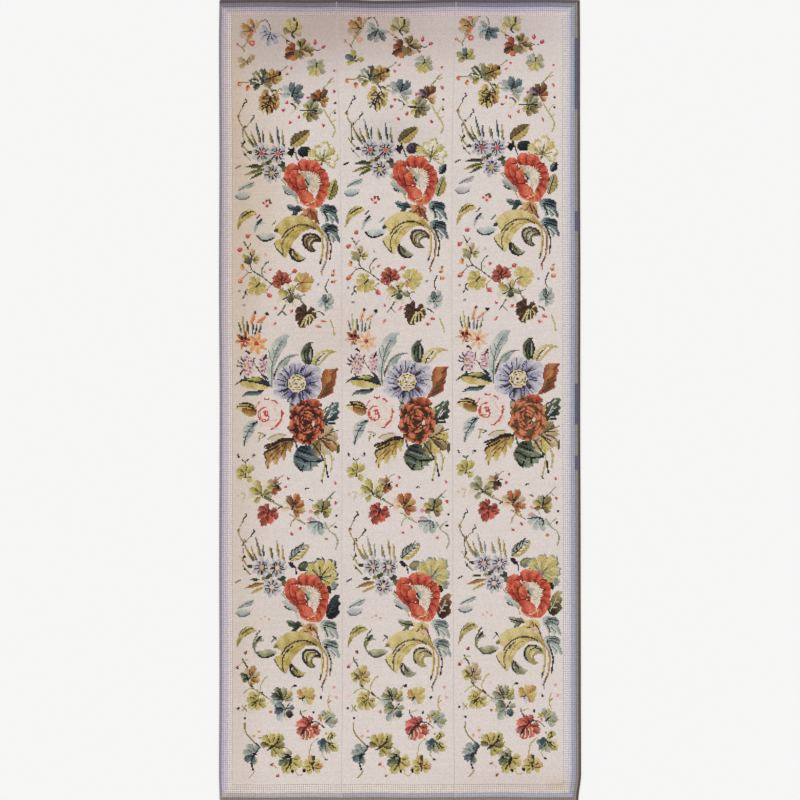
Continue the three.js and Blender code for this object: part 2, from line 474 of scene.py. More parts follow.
def scalyBloom(x, y, across, high, yarn, gap, rings, tones):
    # Overlapping short petals, worked ring by ring from the outside in, with dark stitches behind each
    part, dx, dy = windowOf(x, y, max(across, high) / 2)
    lay(part, np.hypot(dx / across, dy / high) < 0.47, gap)
    for ring in range(rings):
        out = 1 - ring / rings
        count = max(3, round(12 * out + 1))
        size = 0.53 * (across + high) / 2 / rings * (1.30 + 0.5 * out)
        for step in range(count):
            angle = 2 * math.pi * (step + 0.5 * (ring % 2)) / count + 0.2
            angle += 0.35 * math.sin(3.1 * step + ring)
            reachOut = (out - 0.5 / rings) * (1 + 0.05 * math.sin(5 * step + 2 * ring))
            px = x + across / 2 * reachOut * math.cos(angle)
            py = y + high / 2 * reachOut * math.sin(angle)
            turn = math.degrees(math.atan2(px - x, y - py))
            part, dx, dy = windowOf(px, py, size * 1.6)
            along, side = turned(dx, dy, turn + 18 * math.sin(2.3 * step + ring))
            shape = np.hypot(along / (size * 0.62), side / (size * 0.98))
            lay(part, (shape < 1.22) & (along < 0.50 * size), gap)
            tone = blend(tones, 0.15 + 0.85 * along / (size * 0.62)) - 0.16 * ((step + ring) % 2)
            laySteps(part, (shape < 1) & (along > -0.28 * size), yarn, tone, jitter=0.5)


# How far the same motif lies right and down of the left strip's, in photo pixels:
# down, centre strip right, centre strip down, right strip right, right strip down
chartDrift = [
    (0, 107, -3, 218, -5),
    (60, 107.5, -3.2, 218.5, -5.5),
    (100, 108, -3.5, 219, -6),
    (270, 108, -3.5, 219, -6),
    (320, 109, -2.5, 220.5, -5),
    (370, 110, -2, 221, -5),
    (430, 110, -1, 220, -4),
    (500, 111, -1.5, 220, -4.5),
    (560, 111, -1, 221.5, -4),
    (650, 111, -1, 221.5, -4),
    (690, 110, 0, 221, -2),
    (740, 108, 0, 219, -1),
    (800, 108, 0, 219, -1),
]

# The border is worked over two canvas threads. Each band is its width in stitches and its colour, outermost
# first. The second band of the bottom end turns bluer from strip to strip.
borderBands = {
    "top": [(3, 118, 106, 110), (4, 156, 156, 172), (4, 222, 214, 227), (4, 248, 235, 232)],
    "bottom": [(3, 156, 144, 136), (4, 203, 194, 195), (3, 243, 230, 222), (4, 240, 227, 219)],
    "left": [(2, 155, 150, 160), (2, 203, 196, 211), (4, 223, 211, 221), (4, 243, 230, 227)],
    "right": [
        # The two outermost bands of the right side are far darker: a dark line along the very edge
        (1, 88, 74, 72), (1, 112, 98, 94), (3, 160, 152, 148), (4, 180, 184, 202), (3, 226, 219, 225),
        (4, 238, 227, 226)],
}
bottomSecond = [(203, 194, 195), (188, 184, 190), (195, 193, 206)]

# Where the right-hand outer band was worked in navy instead, in photo pixels down
navyRuns = [(38, 110), (212, 231), (383, 425), (455, 470)]
navyYarn = (108, 112, 132)

groundYarn = (226, 214, 208)
yarnTint = {"tintOnStitches": 0.6, "row": 0.018, "stitch": 0.06, "borderStitch": 0.08, "tintOnLeftBorder": 0.45}

# Where the ground is tinted, with stains from age and a darkening along the top end: across, down, half
# width, half height (photo pixels), colour, strength
groundTints = [
    # These first two rows, and the one at 500 across, darken the ground along the top end
    (330, 20, 150, 44, (188, 170, 162), 0.95),
    (250, 40, 60, 50, (184, 168, 164), 0.55),
    (236, 290, 26, 220, (206, 184, 163), 0.80),
    (233, 130, 13, 90, (198, 174, 152), 0.55),
    (258, 185, 30, 90, (211, 192, 172), 0.60),
    (392, 140, 34, 26, (203, 191, 185), 0.65),
    (500, 24, 60, 30, (200, 186, 184), 0.80),
    (557, 784, 9, 4, (196, 168, 118), 0.80),
    (400, 420, 220, 130, (224, 212, 205), 0.40),
    (540, 560, 60, 280, (226, 214, 208), 0.60),
    (236, 600, 20, 240, (212, 197, 184), 0.75),
    (330, 340, 60, 40, (214, 200, 190), 0.55),
    (300, 620, 60, 60, (216, 203, 194), 0.50),
    (520, 784, 70, 16, (213, 198, 190), 0.60),
]


def newChart(strip, columns):
    rows = rugForm["rows"]
    shareAcross, shareDown = np.meshgrid(
        (np.arange(columns) + 0.5) / columns, (np.arange(rows) + 0.5) / rows)
    across, down = planPoint(strip, shareAcross, shareDown, 0.0)
    planX = (across - planForm["leftEnd"]) / planForm["step"]
    planY = down / planForm["step"]
    photoDown = planY / planForm["photoStep"]
    drift = np.array(chartDrift, float)
    right = np.interp(photoDown, drift[:, 0], drift[:, 2 * strip - 1]) if strip else 0
    lower = np.interp(photoDown, drift[:, 0], drift[:, 2 * strip]) if strip else 0
    x = planX - right * planForm["photoStep"]
    y = planY - lower * planForm["photoStep"]
    random = np.random.default_rng(planForm["seed"] + strip)
    chart.update(
        strip=strip, x=x, y=y, colX=x.mean(axis=0), rowY=y.mean(axis=1),
        photoX=planX / planForm["photoStep"] + planForm["photoLeft"], photoY=photoDown,
        grain=random.random(x.shape), lot=random.random(rows),
        wool=np.zeros(x.shape + (3,)), worked=np.zeros(x.shape, bool), open=np.zeros(x.shape))


def groundAndTints():
    # Faded cream ground under the flowers, tinted with the stains and the darkening along the top end of
    # the table above; the stitches take the tints too
    ground = np.zeros(chart["wool"].shape) + groundYarn
    for across, down, wide, high, colour, strength in groundTints:
        far = ((chart["photoX"] - across) / wide) ** 2 + ((chart["photoY"] - down) / high) ** 2
        share = (strength * np.exp(-far))[..., None]
        ground += share * (np.array(colour, float) - ground)
    worked = chart["worked"]
    chart["wool"][~worked] = ground[~worked]
    chart["toning"] = ground / groundYarn
    chart["wool"][worked] *= chart["toning"][worked] ** yarnTint["tintOnStitches"]
    yarnLots = 1 + yarnTint["row"] * (chart["lot"][:, None] - 0.5)
    chart["wool"] *= (yarnLots * (1 + yarnTint["stitch"] * (chart["grain"] - 0.5)))[..., None]


def border(columns):
    rows = rugForm["rows"]
    column, row = np.meshgrid(np.arange(columns), np.arange(rows))
    away = {"top": row, "bottom": rows - 1 - row}
    if chart["strip"] == 0:
        away["left"] = column
    if chart["strip"] == 2:
        away["right"] = columns - 1 - column
    nearest = np.full(row.shape, np.inf)
    colour = np.zeros(row.shape + (3,))
    toned = np.ones(row.shape)
    for side, distance in away.items():
        sideColour = np.zeros(row.shape + (3,))
        at = 0
        for wide, *yarn in borderBands[side]:
            sideColour[(distance >= at) & (distance < at + wide)] = yarn
            at += wide
        if side == "right":
            for start, end in navyRuns:
                run = (distance > 1) & (distance < 5) & (chart["photoY"] > start) & (chart["photoY"] < end)
                sideColour[run] = navyYarn
        if side == "bottom":
            sideColour[(distance > 2) & (distance < 7)] = bottomSecond[chart["strip"]]
        # A corner belongs to the side whose inner line is further off, as in a mitre
        inward = distance - at
        ours = (inward < 0) & (inward < nearest)
        colour[ours] = sideColour[ours]
        toned[ours] = yarnTint["tintOnLeftBorder"] if side == "left" else 1.0
        nearest[ours] = inward[ours]
    inBorder = nearest < 0
    grain = 1 + yarnTint["borderStitch"] * (chart["grain"][inBorder, None] - 0.5)
    chart["wool"][inBorder] = colour[inBorder] * chart["toning"][inBorder] ** toned[inBorder, None] * grain
    chart["open"][inBorder] = 1.0


def topLeaves():
    # tan leaf, hanging leaf and upright leaf on one arched stem
    stems(("olive1", 8, 300,306, 330,276, 352,244, 366,206, 392,178, 432,164, 458,190, 474,240),
        ("rust2", 13, 310,300, 334,276, 352,250))
    vineLeaf(342, 254, 296, 118, "tan tan amber tan tan", "teal0", (210, 0.34), (0.45, 0.98), (0.0, 0.3, 9))
    patch(pick("orange1", "rust2", "orange1"), 306,172, 324,160, 342,174, 334,190, 312,190)
    patch(pick("orange1", "tan1", "orange1"), 312,250, 332,262, 324,296, 306,304, 304,276)
    hanging = pick("lilac lilac lilac petal lilac lilac", "mist teal mist teal mist mist",
        "teal teal teal mist ice mist")
    vineLeaf(470, 266, 205, 108, hanging, pick("blue0", "teal0", "navy1"), (250, 0.42), (0.4, 0.92),
        (-0.1, 0.55, 11))
    stems((pick("lime2", "amber2", "lime2"), 10, 552,278, 580,300, 612,322, 644,346, 674,368),
        ("lime3", 12, 562,196, 572,230, 592,262, 600,300))
    patch("brown1", 596,318, 618,322, 622,332, 600,330)
    upright = pick("olive lime lime scroll tan", "olive sage lime sage olive", "lime sage lime tan lime")
    vineLeaf(646, 264, 8, 126, upright, "bottle0", (215, 0.2), (0.54, 1.1), (-0.1, 0.1, 13), ribs="none",
        squash=0.76)
    stem("bottle1", 13, 682,182, 676,226, 650,258, 640,276, 660,302)
    patch("bottle1", 648,148, 664,144, 670,166, 652,172)

    # the dark leaf and the striped fan beside it, with red buds
    stem("lime1", 8, 596,340, 640,372, 668,398)
    dark = pick("brown brown rust rust", "brown brown rust brown", "brown brown rust brick")
    vineLeaf(664, 412, 262, 90, dark, "brown0", (205, 0.34), (0.12, 0.8), (-0.12, 0.45, 10))
    patch("orange1", 634,450, 660,442, 676,462, 656,486, 634,478)
    vineLeaf(712, 388, 96, 98, "olive olive tan olive tan olive amber", "brown0", (290, 0.34), (0.22, 0.98),
        (0.0, 0.3, 11))
    patch("olive2", 664,398, 692,396, 704,430, 694,462, 666,456)
    patch("rust2", 780,420, 806,424, 810,440, 788,444)
    stem("bottle1", 8, 812,392, 836,400, 860,394)
    bud(823, 334, 50, 30, 4, "red", "red0")
    bud(890, 372, 44, 28, 50, "red", "red0")

    # ring buds, the pale fan and the sage leaf
    part, dx, dy = windowOf(327, 343, 30)
    ring = np.hypot(dx, dy)
    lay(part, ring < 24, pick("coral2", "peach1", "coral2"))
    lay(part, ring < 10, "peach2")
    spot(212, 352, 22, "coral2")
    spot(212, 352, 9, "peach3")
    stems(("lime1", 8, 222,362, 244,372, 256,386, 276,352, 310,304), ("brown2", 8, 256,386, 266,408))
    pale = pick("tan tan cream tan cream", "lime teal lime cream lime", "lime sage teal lime lime")
    vineLeaf(294, 506, 345, 92, pale, pick("olive1", "teal0", "bottle0"), (240, 0.5), (0.38, 0.82),
        (-0.1, 0.4, 8))
    vineLeaf(833, 520, 190, 96, "sage sage sage lime lime sage mist sage", "bottle0", (335, 0.3),
        (0.52, 0.98), (-0.3, 0.14, 10), ribs="none", squash=0.95)

    # the dark fan with its gold neighbour
    fan = pick("bottle bottle sage bottle bottle sage", "lime sage mist bottle sage sage",
        "lime sage bottle sage sage sage")
    vineLeaf(404, 654, 345, 112, fan, "bottle0", (280, 0.46), (0.1, 0.85), (-0.12, 0.45, 9))
    strands("cream2", 10, (352,590, 372,612, 392,640), (330,636, 362,644, 394,656), (396,568, 400,602))
    patch("sage1", 424,596, 452,574, 472,592, 468,628, 440,646, 420,630)
    vineLeaf(484, 612, 70, 80, "amber scroll amber scroll amber amber", "brown0", (300, 0.32), (0.15, 0.8),
        (-0.7, 0.4, 11))
    patch("bottle0", 534,572, 556,568, 558,594, 538,598)
    stem("lime1", 8, 544,566, 572,552, 596,530, 612,520)
    for x, y in ((637, 540), (603, 588), (975, 558)):
        bud(x, y, 24, 22, 150, "red")
    stem("lime1", 8, 240,648, 272,654, 310,644)
    bud(230, 666, 44, 36, 150, "orange", "coral1")
    bud(294, 700, 52, 36, 185, "orange", "coral1")
    stems(("lime2", 13, 420,676, 456,690, 494,714, 530,734, 562,744), ("bottle0", 10, 488,716, 512,710,
        520,722), ("lime1", 8, 520,736, 546,700, 566,716), ("olive1", 8, 462,688, 500,748, 520,742))

    # the veined leaf, the teal leaf, and the dark pair
    veined = pick("amber amber amber scroll amber amber", "scroll lime scroll cream scroll scroll",
        "scroll amber scroll scroll lime scroll")
    vineDark = pick("brown0", "plum0", "brown0")
    vineLeaf(468, 782, 200, 124, veined, vineDark, (290, 0.2), (0.3, 0.92), (-0.2, 0.62, 15), squash=0.84,
        ribs="along")
    strands(vineDark, 10, (468,782, 494,812, 500,852), (454,806, 428,812, 408,802), (442,840, 418,852,
        404,872), (442,854, 446,880, 452,900), (484,752, 508,766, 516,796), (452,752, 430,762, 414,776),
        (462,830, 482,850, 484,884), (446,822, 420,832, 400,840))
    blue = pick("ice ice teal teal teal teal", "ice mist teal teal mist mist")
    vineLeaf(642, 752, 22, 112, blue, "navy1", (280, 0.46), (0.35, 0.85), (-0.05, 0.62, 13))
    vineLeaf(856, 792, 12, 102, pick("brown brown rust brown amber amber",
        "brown plum brown brown peach amber", "brown plum brown brown rust amber"), "brown0", (285, 0.34),
        (0.15, 0.95), (0.0, 0.45, 10), squash=0.9)
    vineLeaf(778, 872, 92, 104, "lime sage sage sage olive olive lime", "bottle0", (315, 0.36), (0.3, 0.95),
        (-0.75, 0.62, 11))
    for x, y, turn in ((600, 810, 20), (575, 866, 80), (770, 770, 60), (695, 920, 10), (625, 962, 330),
            (885, 985, 340), (970, 716, 330)):
        bud(x, y, 34, 24, turn, "red", "red0")
    stems(("navy0", 11, 630,816, 654,826, 672,846), ("lime2", 8, 640,790, 664,800, 700,840))
    spot(668, 858, 14, "bottle0")
    stems(("lime3", 9, 690,850, 664,872, 632,896), ("lime2", 12, 892,862, 912,900, 940,946, 968,990,
        978,1030, 960,1078), ("lime2", 8, 930,930, 950,896, 980,866), ("lime2", 8, 946,962, 982,946),
        ("lime1", 9, 880,700, 910,676, 936,640, 962,616), ("lime2", 8, 930,650, 972,644))
    spots(20, "plum1", 980,812, 980,892)


def hook(x, y, size, shade):
    # The small dark hooked tendrils at the left of the strip
    stem(shade, 11, x + 0.35 * size, y - 0.9 * size, x + 0.6 * size, y - 0.35 * size, x, y + 0.1 * size,
        x - 0.4 * size, y + size)


def vineAndDaisies(second):
    # The left-hand vine, the clump of blades and the three daisies
    hook(266, 814, 34, "plum0")
    stem("lime1", 7, 256,850, 234,880, 222,914)
    bud(222, 920, 40, 26, 175, "amber", "olive1")
    stems((pick("lime1", "lime1", "olive1"), 9, 224,942, 238,976, 258,1002, 272,1040, 300,1080, 330,1120,
        372,1166), ("sage1", 7, 258,1008, 254,1050, 262,1100, 258,1130))
    for x, y in ((262, 1010), (258, 1130)):
        hook(x, y, 22, "bottle0")
    hook(330, 935, 28, "navy1")
    stems(("lime1", 7, 322,962, 296,978, 282,1004), ("lime1", 8, 256,1190, 280,1224, 318,1262))
    spot(272, 1216, 20, "bottle1")
    stem(pick("amber1", "bottle0"), 12, 200,1322, 218,1312, 236,1304)
    cool = "teal" if not second else pick("teal", "mist")
    warm = "lime" if not second else "scroll"
    # x, y at the foot, length, width, turn, bend, yarn
    far = "lime" if second else cool
    blades = [
        (402, 1130, 170, 20, 340, 14, cool), (386, 1126, 90, 17, 350, 4, warm),
        (420, 1126, 96, 17, 352, 6, cool), (346, 1160, 100, 20, 322, 12, cool),
        (374, 1158, 112, 20, 326, 12, cool), (322, 1140, 96, 15, 328, 10, warm),
        (306, 1108, 120, 15, 332, 12, warm), (352, 1138, 110, 15, 338, 10, warm),
        (494, 1136, 80, 17, 344, 6, cool), (478, 1128, 90, 15, 350, 6, warm),
        (540, 1130, 138, 20, 350, 8, far), (584, 1166, 92, 19, 340, 8, far),
        (574, 1134, 110, 15, 352, 6, warm), (300, 1200, 110, 13, 318, 8, warm),
    ]
    for x, y, length, width, turn, bend, yarn in blades:
        finger(x, y, length, width, turn, yarn, (0.1, 0.75), bend=bend)
    for x, y, wide, high, shade in ((312, 1196, 50, 26, "bottle1"), (448, 1280, 60, 40, "bottle1"),
            (350, 1300, 70, 22, "bottle1"), (560, 1290, 60, 50, "bottle1"), (480, 1262, 60, 26, "olive1"),
            (584, 1330, 60, 50, "bottle2"), (420, 1290, 40, 30, "lime1"), (530, 1270, 40, 24, "lime1")):
        patch(shade, x - wide / 2, y + high / 5, x - wide / 6, y - high / 2, x + wide / 2, y - high / 6,
            x + wide / 5, y + high / 2)
    if second:
        finger(420, 1330, 150, 34, 262, "amber", (0.1, 0.8), bend=-18)
        finger(420, 1360, 116, 26, 248, "scroll", (0.2, 0.8), bend=-8)
    else:
        finger(420, 1310, 140, 30, 274, "bottle", (0.0, 0.7), bend=-12)
        finger(430, 1330, 170, 34, 258, "lime", (0.1, 0.75), bend=-14, dark="bottle1")
        finger(420, 1352, 120, 24, 246, "bottle", (0.1, 0.8), bend=-6)
    stems(("lime2", 10, 560,1410, 592,1450, 624,1490), ("bottle1", 9, 572,1400, 604,1440, 636,1476))
    hearts = ("salmon1", "salmon2", "scroll2") if not second else ("peach1", "peach2", "peach2")
    for (x, y), heart in zip(((403, 1206), (527, 1208), (484, 1360)), hearts):
        daisy(x, y, 84, "petal", heart, pick("navy1", "plum0", "blue0"), turn=x * 0.01)


def besideTheDaisies(second):
    # The big toothed leaf, the small dark leaves and the pale lobed leaf above the peony
    if second:
        leaf(700, 1190, 196, 108, 52, "mist", "bottle0", "scroll", teeth=7, low=0.72, high=0.62)
        for rib in range(4):
            stems(("bottle0", 10, 640 + 24 * rib, 1222 - 22 * rib, 638 + 27 * rib, 1194 - 20 * rib,
                650 + 28 * rib, 1168 - 18 * rib), ("cream3", 9, 668 + 22 * rib, 1228 - 24 * rib,
                694 + 20 * rib, 1228 - 24 * rib))
        dark = pick("bottle", "sage")
        patch(dark + "1", 686,1312, 706,1276, 742,1262, 776,1276, 790,1306, 766,1332, 724,1342, 700,1332)
        shadedPatch(dark, (0.3, 0.75), 700,1308, 730,1280, 766,1284, 776,1306, 744,1322)
        patch("plum0", 612,1272, 640,1268, 664,1300, 652,1318, 626,1302)
        stem("plum0", 10, 664,1300, 674,1332, 676,1366)
        edge = pick("teal0", "mist0")
        edgeYarn = pick("teal", "mist")
        vineLeaf(862, 1392, 40, 172, edgeYarn, edge, (292, 0.24), (0.1, 0.6), (-0.12, 0.45, 13), lobes=7,
            ribs="none")
        vineLeaf(862, 1392, 38, 158, "scroll lime scroll scroll lime scroll lime", edge, (286, 0.2),
            (0.55, 0.98), (-0.1, 0.42, 13), ribs="along")
        patch("plum0", 914,1462, 944,1462, 952,1506, 932,1512)
        patch("mist1", 950,1440, 976,1420, 990,1450, 968,1484)
        return
    leaf(706, 1086, 196, 112, 52, "olive", "brown1", "scroll", teeth=7, low=0.62, high=0.5)
    shadedPatch(pick("navy", "plum", "navy"), (0.0, 0.62), 684,1196, 704,1160, 744,1150, 784,1164, 792,1200,
        764,1228, 722,1236, 696,1222, stripes=26)
    patch(pick("navy0", "plum0", "navy0"), 600,1200, 618,1188, 612,1164, 636,1172, 654,1152, 664,1184,
        652,1212, 640,1236, 622,1222)
    stems(("navy1", 11, 668,1196, 676,1230, 690,1262), ("scroll2", 8, 660,1160, 672,1196))
    tint = pick("lime", "lime", "scroll")
    vineLeaf(880, 1262, 12, 148, tint, "bottle0", (240, 0.28), (0.45, 0.9), (-0.12, 0.45, 13), lobes=7,
        ribs="none")
    vineLeaf(880, 1262, 12, 128, f"cream {tint} cream cream {tint} cream cream", "lime0", (225, 0.3),
        (0.6, 0.98), (-0.3, 0.45, 12), ribs="along")
    if chart["strip"]:
        leaf(976, 1356, 92, 66, 30, "teal", "navy0", "navy", teeth=4)
    leaf(958, 1488, 170, 104, 18, pick("lime", "sage"), "bottle0", "lime", teeth=6, low=pick(0.4, 0.62),
        high=pick(0.74, 0.84))
    patch("bottle1", 918,1430, 934,1424, 940,1462, 924,1470)


def peony(second):
    # A ring of ruffled petals round a toothed cream heart, and three petals folded in from the left
    yarn = "coral"
    crease = "coral0"
    edge = "mist" if not second else "ice"
    heartHigh = 0.75 if second else pick(0.5, 0.75)
    heart = 782, 1432
    shadedPatch(edge, (0.3, 0.95), 562,1462, 600,1456, 640,1482, 676,1512, 690,1556, 660,1548, 622,1524,
        586,1500, lit=(0.4, -0.9))
    stems(("navy1", 12, 584,1508, 604,1522, 626,1532), ("lime2", 9, 650,1530, 672,1560, 690,1600))
    foldedPatch(yarn, (0.08, 0.95), 17, (760, 1440), 804,1352, 835,1332, 871,1319, 908,1348, 927,1387,
        932,1435, 923,1480, 917,1522, 903,1564, 875,1608, 843,1630, 806,1614, 814,1580, 828,1546, 846,1502,
        850,1465, 848,1429, 836,1399, 816,1372, creases=crease)
    foldedPatch(yarn, (0.12, 0.95), 13, heart, 769,1268, 799,1253, 834,1268, 861,1296, 871,1328, 838,1338,
        814,1362, 796,1366, 776,1360, 770,1306, creases=crease)
    foldedPatch(yarn, (0.1, 0.92), 13, heart, 684,1306, 690,1272, 720,1250, 752,1252, 771,1270, 782,1300,
        788,1362, 751,1366, 716,1362, 696,1334, creases=crease)
    stems((crease, 10, 694,1298, 708,1322, 712,1344), (crease, 9, 846,1336, 872,1326, 900,1338))
    foldedPatch(yarn, (0.12, 0.9), 9, (716, 1420), 636,1284, 606,1302, 587,1339, 581,1387, 598,1435,
        629,1479, 669,1508, 700,1512, 690,1480, 660,1441, 646,1405, 642,1363, 660,1340, 686,1334, 696,1316,
        668,1290)
    foldedPatch(yarn, (0.35, 1.0), 7, (668, 1450), 672,1504, 697,1482, 733,1486, 769,1500, 801,1524,
        814,1562, 794,1588, 751,1582, 715,1564, 690,1540)
    patch(yarn + "2", 696,1548, 718,1566, 751,1580, 794,1586, 814,1566, 850,1600, 846,1630, 815,1632,
        770,1624, 730,1604, 706,1582)
    stems((yarn + "3", 13, 706,1584, 738,1606, 775,1620, 815,1624, 850,1626), (yarn + "1", 11, 716,1574,
        750,1594, 790,1600, 812,1590), ("orange3", 8, 760,1602, 800,1590, 836,1562),
        ("scroll2", 8, 812,1566, 826,1590, 822,1612))
    shadedPatch("cream", (0.0, heartHigh), 694,1370, 733,1354, 769,1348, 806,1362, 834,1388, 846,1430,
        840,1474, 820,1512, 808,1520, 796,1504, 768,1480, 748,1447, 742,1410, 724,1390, lit=(0.8, 0.4),
        waves=7)
    for step in range(15):
        turn = -14 + 12.5 * step
        lean = math.radians(turn)
        finger(782 + 42 * math.sin(lean), 1434 - 42 * math.cos(lean),
            42 + 7 * (step % 2) + (9 if step > 11 else 0), 15, turn, "cream", (0.25, heartHigh + 0.23))
        stem("cream0" if step % 2 else "peach0", 5,
            782 + 52 * math.sin(lean + 0.11), 1434 - 52 * math.cos(lean + 0.11),
            782 + 72 * math.sin(lean + 0.11), 1434 - 72 * math.cos(lean + 0.11))
    patch("mist2", 752,1402, 774,1400, 786,1424, 782,1454, 764,1458)
    stem("bottle0", 13, 748,1412, 756,1430, 768,1450)
    foldedPatch(yarn, (0.05, 0.92), 9, (722, 1432), 624,1369, 638,1342, 666,1336, 698,1354, 712,1377,
        688,1390, 682,1411, 690,1441, 704,1473, 682,1482, 650,1451, 628,1412)
    stem(crease, 9, 690,1484, 676,1456, 670,1420, 676,1396, 700,1384)
    foldedPatch(yarn, (0.15, 0.98), 8, (752, 1470), 678,1400, 703,1380, 730,1384, 744,1415, 746,1445,
        767,1466, 765,1488, 738,1482, 709,1488, 688,1459, 678,1429)
    stems(("orange1", 10, 684,1396, 704,1386, 726,1392), ("orange1", 8, 692,1412, 712,1404, 730,1410),
        (crease, 9, 668,1500, 694,1486, 730,1488, 764,1496), (crease, 8, 622,1400, 630,1426, 652,1458,
        678,1484), (crease, 8, 640,1334, 668,1330, 690,1340), ("peach2", 8, 700,1358, 716,1348, 738,1350))


def scrolls(second):
    # The calyx leaves under the peony, then the gold scroll with its stems
    vein = pick("bottle0", "brown1") if not second else pick("teal0", "plum1")
    leafDark = "teal" if not second else pick("bottle", "sage")
    shadedPatch(leafDark, (0.05, 0.85), 598,46, 632,38, 664,52, 694,44, 716,62, 740,92, 712,90, 694,98,
        676,122, 640,124, 650,96, 622,84, lit=(-0.4, -0.7), waves=9)
    stem("navy1", 10, 612,60, 660,76, 716,84)
    body = "mist" if second else "teal"
    dark = pick("navy1", "teal1") if second else "navy0"
    for right, lower in ((0, 0), (10, 150)):
        with moved(right, lower):
            shadedPatch(body, (0.25, 1.12), 862,64, 890,38, 934,40, 978,52, 996,84, 990,112, 1004,146,
                1010,190, 974,168, 956,190, 936,164, 908,180, 900,140, 872,110, lit=(-0.5, 0.6), waves=13)
            strands(dark, 10, (890,76, 936,84, 984,104), (900,90, 932,120, 972,160), (888,92, 912,130,
                922,164), (908,60, 950,62, 980,76))
            strands("ice3", 10, (916,106, 950,130, 984,166), (884,110, 902,140), (930,138, 944,170))
    rust = pick("rust", "rust", "amber") if not second else pick("amber", "scroll")
    shadedPatch(rust, (0.45, 1.0), 712,58, 748,70, 790,58, 828,74, 846,104, 842,150, 862,196, 836,184,
        808,158, 786,166, 760,138, 728,134, 700,120, 728,100, lit=(-0.4, -0.7), waves=10)
    strands("brick0", 9, (786,78, 792,110, 806,140), (806,96, 832,132, 850,178), (768,124, 744,128),
        (780,96, 760,116))
    if second:
        patch("pink2", 790,120, 822,132, 838,164, 808,156)

    # the crescent leaf and the curled blades at the left
    with moved(-4 if second else 0, 8 if second else 0):
        shadedPatch("scroll" if not second else "lime", (0.35, 0.95), 209,248, 214,190, 240,126, 268,92,
            300,72, 334,82, 364,110, 338,126, 304,142, 262,172, 232,210, lit=(-0.5, -0.8), waves=14)
        stems(("brown0" if not second else "olive1", 12, 248,140, 276,118, 304,100, 334,92),
            ("bottle2", 8, 226,152, 250,112, 282,88))
        tone = "ice" if not second else "sage"
        shadedPatch(tone, (0.25, 0.9), 340,270, 344,226, 358,186, 380,160, 402,148, 408,172, 432,190,
            394,196, 372,214, 358,250, lit=(0.6, 0.5))
        stems(("navy1", 14, 368,194, 384,174, 400,156), ("plum1", 11, 366,142, 380,130, 392,114))
        shadedPatch(tone, (0.35, 1.0), 368,282, 396,268, 440,260, 484,262, 524,276, 508,300, 472,322,
            432,330, 396,318, lit=(0.0, -1.0), waves=16)
        stems((pick("bottle0", "sage0") if second else "bottle0", 13, 370,284, 390,308, 418,322,
            456,318, 500,300), ("mist0", 10, 484,200, 500,184, 516,166))
    if second:
        stems(("navy0", 10, 494,166, 510,174, 516,190), (tone + "1", 12, 366,160, 344,196, 338,240, 352,280,
            372,306))

    # the scroll itself: a back plume, then the front plume with its dark vein
    shadedPatch("scroll", (pick(0.3, 0.46), pick(0.92, 1.15)), 500,250, 512,218, 536,182, 566,156, 602,136,
        648,124, 700,122, 748,136, 792,158, 832,184, 858,214, 878,256, 848,236, 806,212, 764,202, 716,198,
        668,206, 622,228, 588,258, 562,282, 536,262, lit=(-0.25, -0.85), waves=15)
    patch("bottle1" if not second else "sage1", 496,252, 508,232, 524,226, 534,246, 516,256)
    shadedPatch("scroll", (pick(0.22, 0.42), pick(0.9, 1.15)), 502,344, 514,322, 548,304, 572,268, 602,234,
        642,206, 690,190, 740,188, 784,198, 826,220, 866,258, 830,240, 790,232, 752,238, 722,262, 692,290,
        664,318, 644,348, 628,384, 612,420, 588,456, 560,436, 530,404, 510,374, lit=(-0.75, -0.35),
        waves=13)
    stems((vein, 12, 562,300, 586,264, 620,232, 664,208, 710,198, 754,200, 800,216, 838,240),
        ("olive1" if not second else vein, 9, 574,432, 566,390, 566,346, 584,302, 612,266),
        ("bottle1" if not second else vein, 8, 606,290, 622,262, 652,236), ("scroll1", 8, 630,300, 652,268,
        688,242, 722,234), ("bottle1" if not second else "olive1", 9, 504,348, 522,382, 546,412, 572,440),
        ("scroll1", 7, 600,380, 606,344, 620,314))

    # the two inner curls
    outer, inner = pick(("brown0", "olive"), ("brown1", "sage"))
    if second:
        outer, inner = pick(("teal0", "lime"), ("sage2", "scroll"))
    patch(outer, 718,308, 734,274, 768,260, 812,262, 848,278, 876,312, 880,340, 862,332, 836,320, 808,332,
        800,358, 812,384, 830,398, 808,410, 776,404, 744,382, 724,348)
    shadedPatch(inner, (0.3, 0.85), 738,308, 756,284, 786,276, 820,284, 846,304, 818,312, 796,330, 788,356,
        800,386, 820,398, 792,400, 764,382, 744,350, lit=(-0.3, -0.6))
    stem(outer, 9, 762,372, 754,340, 764,308, 794,290, 824,296)
    if second and chart["strip"]:
        stems(("plum0", 13, 742,376, 724,340, 728,300, 750,272, 784,264, 816,268), ("plum0", 9, 768,300,
            800,286, 836,292, 862,312))
    stems(("cream2", 9, 776,356, 782,330, 800,314), (inner + "1", 10, 796,384, 790,360, 800,338, 824,326,
        848,326))
    edge = pick("navy1", "sage2") if second else "brown0"
    patch(edge, 634,374, 646,392, 640,424, 664,452, 700,470, 736,456, 752,450, 728,478, 690,488, 650,472,
        622,436, 618,396)
    shadedPatch(pick("lime", "sage"), (0.25, 0.98), 648,386, 668,400, 694,420, 724,444, 750,450, 726,468,
        694,474, 664,458, 646,428, lit=(0.6, -0.4))
    stem(edge if edge != "sage2" else "plum0", 11, 650,390, 662,416, 682,440)
    if edge == "sage2":
        stem("plum0", 13, 638,384, 628,412, 634,440, 654,466)

